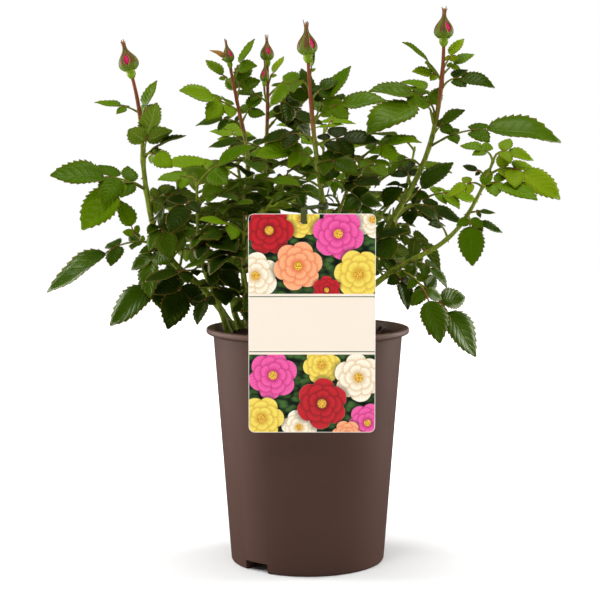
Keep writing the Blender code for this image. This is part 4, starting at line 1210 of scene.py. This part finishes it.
# Buds, in metres and in shares of their length and half width
sideBud = {  # a second, smaller bud on a shoot of its own, which leaves another at a share of its length
    "shoot": "middle_back", "share": 0.86, "heading": -110, "leans": (60, -5), "length": 0.020,
    "radius": 0.0011, "bud": 0.0085,
}
bud = {
    "length": 0.0380, "width": 0.017, "sides": 20, "sunk": 0.002,
    "core": (0.22, 0.52), "coreWidth": 0.90, "coreTip": 0.75, "coreSteps": 14, "coreSides": 28,
    "petals": 3.0, "roll": 3.2, "proud": 0.10,
    "sepals": 5, "sepalGrid": (8, 24), "sepalThickness": 0.0003, "foot": 0.20, "lap": 1.12, "over": 0.03,
    "clear": 0.03, "belly": 0.05, "front": -80.0, "stray": 35.0, "slit": 0.62, "slits": (0.06, 0.12, 0.30),
    "bare": (0.26, 0.42), "free": 0.76, "flare": (0.05, 0.40), "ending": (0.90, 1.0), "widest": 0.34,
    "radii": ((0.00, 0.24), (0.09, 0.46), (0.18, 0.46), (0.22, 0.66), (0.27, 0.90), (0.34, 1.00),
              (0.41, 0.97), (0.49, 0.84), (0.57, 0.60), (0.64, 0.36), (0.70, 0.21), (0.78, 0.14),
              (0.86, 0.11), (1.0, 0.11)),
    "hip": ((0.0, 0.0), (0.24, 0.0), (0.34, 0.03), (0.46, 0.08), (0.50, 0.12), (0.47, 0.17),
            (0.52, 0.20), (0.62, 0.225), (0.40, 0.25), (0.0, 0.25)),
}


def budRadius(share):
    for (low, first), (high, second) in zip(bud["radii"], bud["radii"][1:]):
        if share <= high:
            return first + (second - first) * (share - low) / (high - low)
    return bud["radii"][-1][1]


def growSepal(half, length, middle, number, gaps, chance):
    bm = bmesh.new()
    columns, rows = bud["sepalGrid"]
    bmesh.ops.create_grid(bm, x_segments=columns, y_segments=rows, size=0.5)
    mapBlade(bm)
    sector = math.tau / bud["sepals"]
    flare = chance.uniform(*bud["flare"])
    ending = chance.uniform(*bud["ending"])
    bareFrom, bareSpan = bud["bare"]
    for vert in bm.verts:
        side = 2.0 * vert.co.x
        share = bud["foot"] + (ending - bud["foot"]) * (vert.co.y + 0.5)
        bare = math.sin(math.pi * min(max((share - bareFrom) / bareSpan, 0.0), 1.0)) ** 1.5
        width = sector / 2 * bud["lap"] * (1.0 - (gaps[0] if side < 0 else gaps[1]) * bare)
        free = max(share - bud["free"], 0.0) / (1.0 - bud["free"])
        width *= 1.0 - free ** 3
        radius = budRadius(share) * (1.0 + bud["over"] * (number % 2)) + bud["clear"]
        radius += bud["belly"] * (1.0 - side * side)
        spread = half * flare * free ** 1.5
        angle = middle + side * width
        vert.co = (half * radius * math.cos(angle) + spread * math.cos(middle),
                   half * radius * math.sin(angle) + spread * math.sin(middle), length * share)
    bmesh.ops.recalc_face_normals(bm, faces=bm.faces)
    centre = Vector((0, 0, bud["widest"] * length))
    widest = min(bm.faces, key=lambda face: abs(face.calc_center_median().z - centre.z))
    if widest.normal.dot(widest.calc_center_median() - centre) < 0:
        bmesh.ops.reverse_faces(bm, faces=bm.faces)
    return bm


def growBud(shoot, line, chance, hips, petals, sepals):
    along = line.along(1.0)
    half = shoot["bud"] / 2.0
    length = bud["length"] * math.sqrt(shoot["bud"] / bud["width"])
    turn = up.rotation_difference(along).to_matrix().to_4x4()
    place = Matrix.Translation(line.at(1.0) - bud["sunk"] * along) @ turn
    shape = [Vector((half * radius, 0, length * share)) for radius, share in bud["hip"]]
    spun(shape, bud["sides"], hips, place)
    (low, span), steps = bud["core"], bud["coreSteps"]
    shares = [low + span * index / steps for index in range(steps + 1)]
    shape = [(bud["coreWidth"] * budRadius(share), share) for share in shares]
    shape = [(0.0, low), *shape, (0.0, bud["coreTip"])]
    shape = [Vector((half * radius, 0, length * share)) for radius, share in shape]
    core = spun(shape, bud["coreSides"])
    for vert in core.verts:  # rolled petals, each a little proud of the next
        around = math.atan2(vert.co.y, vert.co.x) / math.tau * bud["petals"]
        curl = (around + bud["roll"] * vert.co.z / length) % 1.0
        vert.co.xy *= 0.92 + bud["proud"] * curl
    bmesh.ops.transform(core, matrix=place, verts=core.verts)
    pour(core, petals)
    count = bud["sepals"]
    first = math.radians(bud["front"] + chance.uniform(-bud["stray"], bud["stray"]))
    first += math.tau / count / 2
    slits = [bud["slit"]] + [chance.choice(bud["slits"]) for _ in range(1, count)]
    for number in range(count):
        gaps = (slits[number], slits[(number + 1) % count])
        sepal = growSepal(half, length, first + math.tau / count * number, number, gaps, chance)
        bmesh.ops.transform(sepal, matrix=place, verts=sepal.verts)
        pour(sepal, sepals)


def budFinishes():
    hip = Finish("bud hip", 0.2)
    mottle = hip.grain(hip.place(), 260.0)
    hipGreen = hip.mix(hip.rise(mottle, 0.3, 0.7), paint(122, 146, 16), paint(104, 130, 12))
    hipGreen = hip.wear(hipGreen, 0.35, mottle, 0.0002, 0.15)
    petal = Finish("bud petal", 0.2, {"Sheen Weight": 0.1})
    streak = petal.streaks(petal.place(), (700.0, 700.0, 160.0), 3.0)
    crimson = petal.mix(streak, paint(170, 14, 62), paint(224, 30, 104))
    crimson = petal.wear(crimson, 0.5, streak, 0.0004, 0.5)
    sepal = Finish("bud sepal", 0.15)
    across, reach, _ = sepal.parts(sepal.blade())
    away = abs(across * 2.0 - 1.0)
    vein = sepal.streaks(sepal.place(), (900.0, 900.0, 200.0), 3.0)
    flush = sepal.rise(reach + 0.10 * (vein - 0.5), 0.10, 0.30) * (1.0 - sepal.rise(away, 0.45, 0.85))
    green = sepal.mix(sepal.rise(vein, 0.35, 0.7), paint(74, 96, 16), paint(104, 124, 26))
    green = sepal.mix(flush * 0.85, green, paint(98, 52, 38))
    green = sepal.mix(sepal.rise(away, 0.84, 0.98) * 0.55, green, paint(150, 160, 70))
    green = sepal.mix(sepal.rise(reach, 0.66, 0.95) * 0.6, green, paint(150, 84, 52))
    calyx = sepal.wear(green, 0.5, vein, 0.0005, 0.5)
    return hipGreen, crimson, calyx


def thicken(piece, thickness, under=0, rim=0):
    solid = piece.modifiers.new("thickness", "SOLIDIFY")
    solid.thickness = thickness
    solid.offset = -1.0
    solid.material_offset = under
    solid.material_offset_rim = rim


def prickleFinish():
    thorn = Finish("prickle", 0.4)
    ashen = thorn.mix(thorn.attribute("share"), paint(138, 84, 58), paint(176, 122, 84))
    ashen = thorn.mix(thorn.attribute("tone") * 0.6, ashen, paint(110, 46, 36))
    return thorn.wear(ashen, 0.45, thorn.grain(thorn.place(), 900.0), 0.0002, 0.4)


def buildLeaves(leaves):
    finishes = [leafFinish(tone) for tone in tones] + [underFinish(tone) for tone in tones]
    finishes += [rimFinish()] * len(tones)
    for name, members in masses.items():
        bm = bmesh.new()
        bm.loops.layers.uv.new("blade")
        bm.verts.layers.float.new("tone")
        for member in members:
            for blades in leaves[member]:
                pour(blades, bm)
        print(name, sum(len(leaves[member]) for member in members), "leaves", len(bm.faces), "faces")
        replaced = ["foliage_" + member for member in members]
        piece = addPiece(name, bm, finishes, replaced, 180.0)
        thicken(piece, leafForm["thickness"], len(tones), 2 * len(tones))


def buildBuds(lines, side):
    hips, petals, sepals = bmesh.new(), bmesh.new(), bmesh.new()
    chance = random.Random(7)
    for name, shoot in shoots.items():
        if shoot["bud"]:
            growBud(shoot, lines[name], chance, hips, petals, sepals)
    growBud(sideBud, side, chance, hips, petals, sepals)
    hipGreen, crimson, calyx = budFinishes()
    addPiece("bud_hips", hips, [hipGreen], (), 60.0)
    addPiece("bud_petals", petals, [crimson], (), 60.0)
    calyces = addPiece("bud_sepals", sepals, [calyx], (), 180.0)
    thicken(calyces, bud["sepalThickness"])
    print("buds")


def buildPlant():
    lines, canes, prickles, stalks, leaves = growCrown()
    green = barkFinish("cane", paint(126, 140, 34), paint(86, 98, 22), paint(124, 66, 36))
    addPiece("canes", canes, [green], ["cane_" + name for name in shoots], 60.0)
    addPiece("prickles", prickles, [prickleFinish()], (), 60.0)
    side = ShootLine({"foot": (0.0, 0.0), **sideBud})
    start = lines[sideBud["shoot"]].at(sideBud["share"]) - side.points[0]
    side.points = [point + start for point in side.points]
    pour(tube([side.at(step / 5) for step in range(6)], [sideBud["radius"]] * 6, 8, tone=0.9), stalks)
    stalk = barkFinish("leaf stalk", paint(120, 128, 34), paint(96, 98, 26), paint(118, 66, 36))
    addPiece("leaf_stalks", stalks, [stalk], (), 60.0)
    print("canes, prickles and stalks")
    buildLeaves(leaves)
    buildBuds(lines, side)


templates = {name: leafletTemplate(*leafForm[name]) for name in ("large", "small")}
templates["stipule"] = stipuleTemplate()
buildStudio()
buildPot()
buildCompost()
finishCard()
buildPlant()
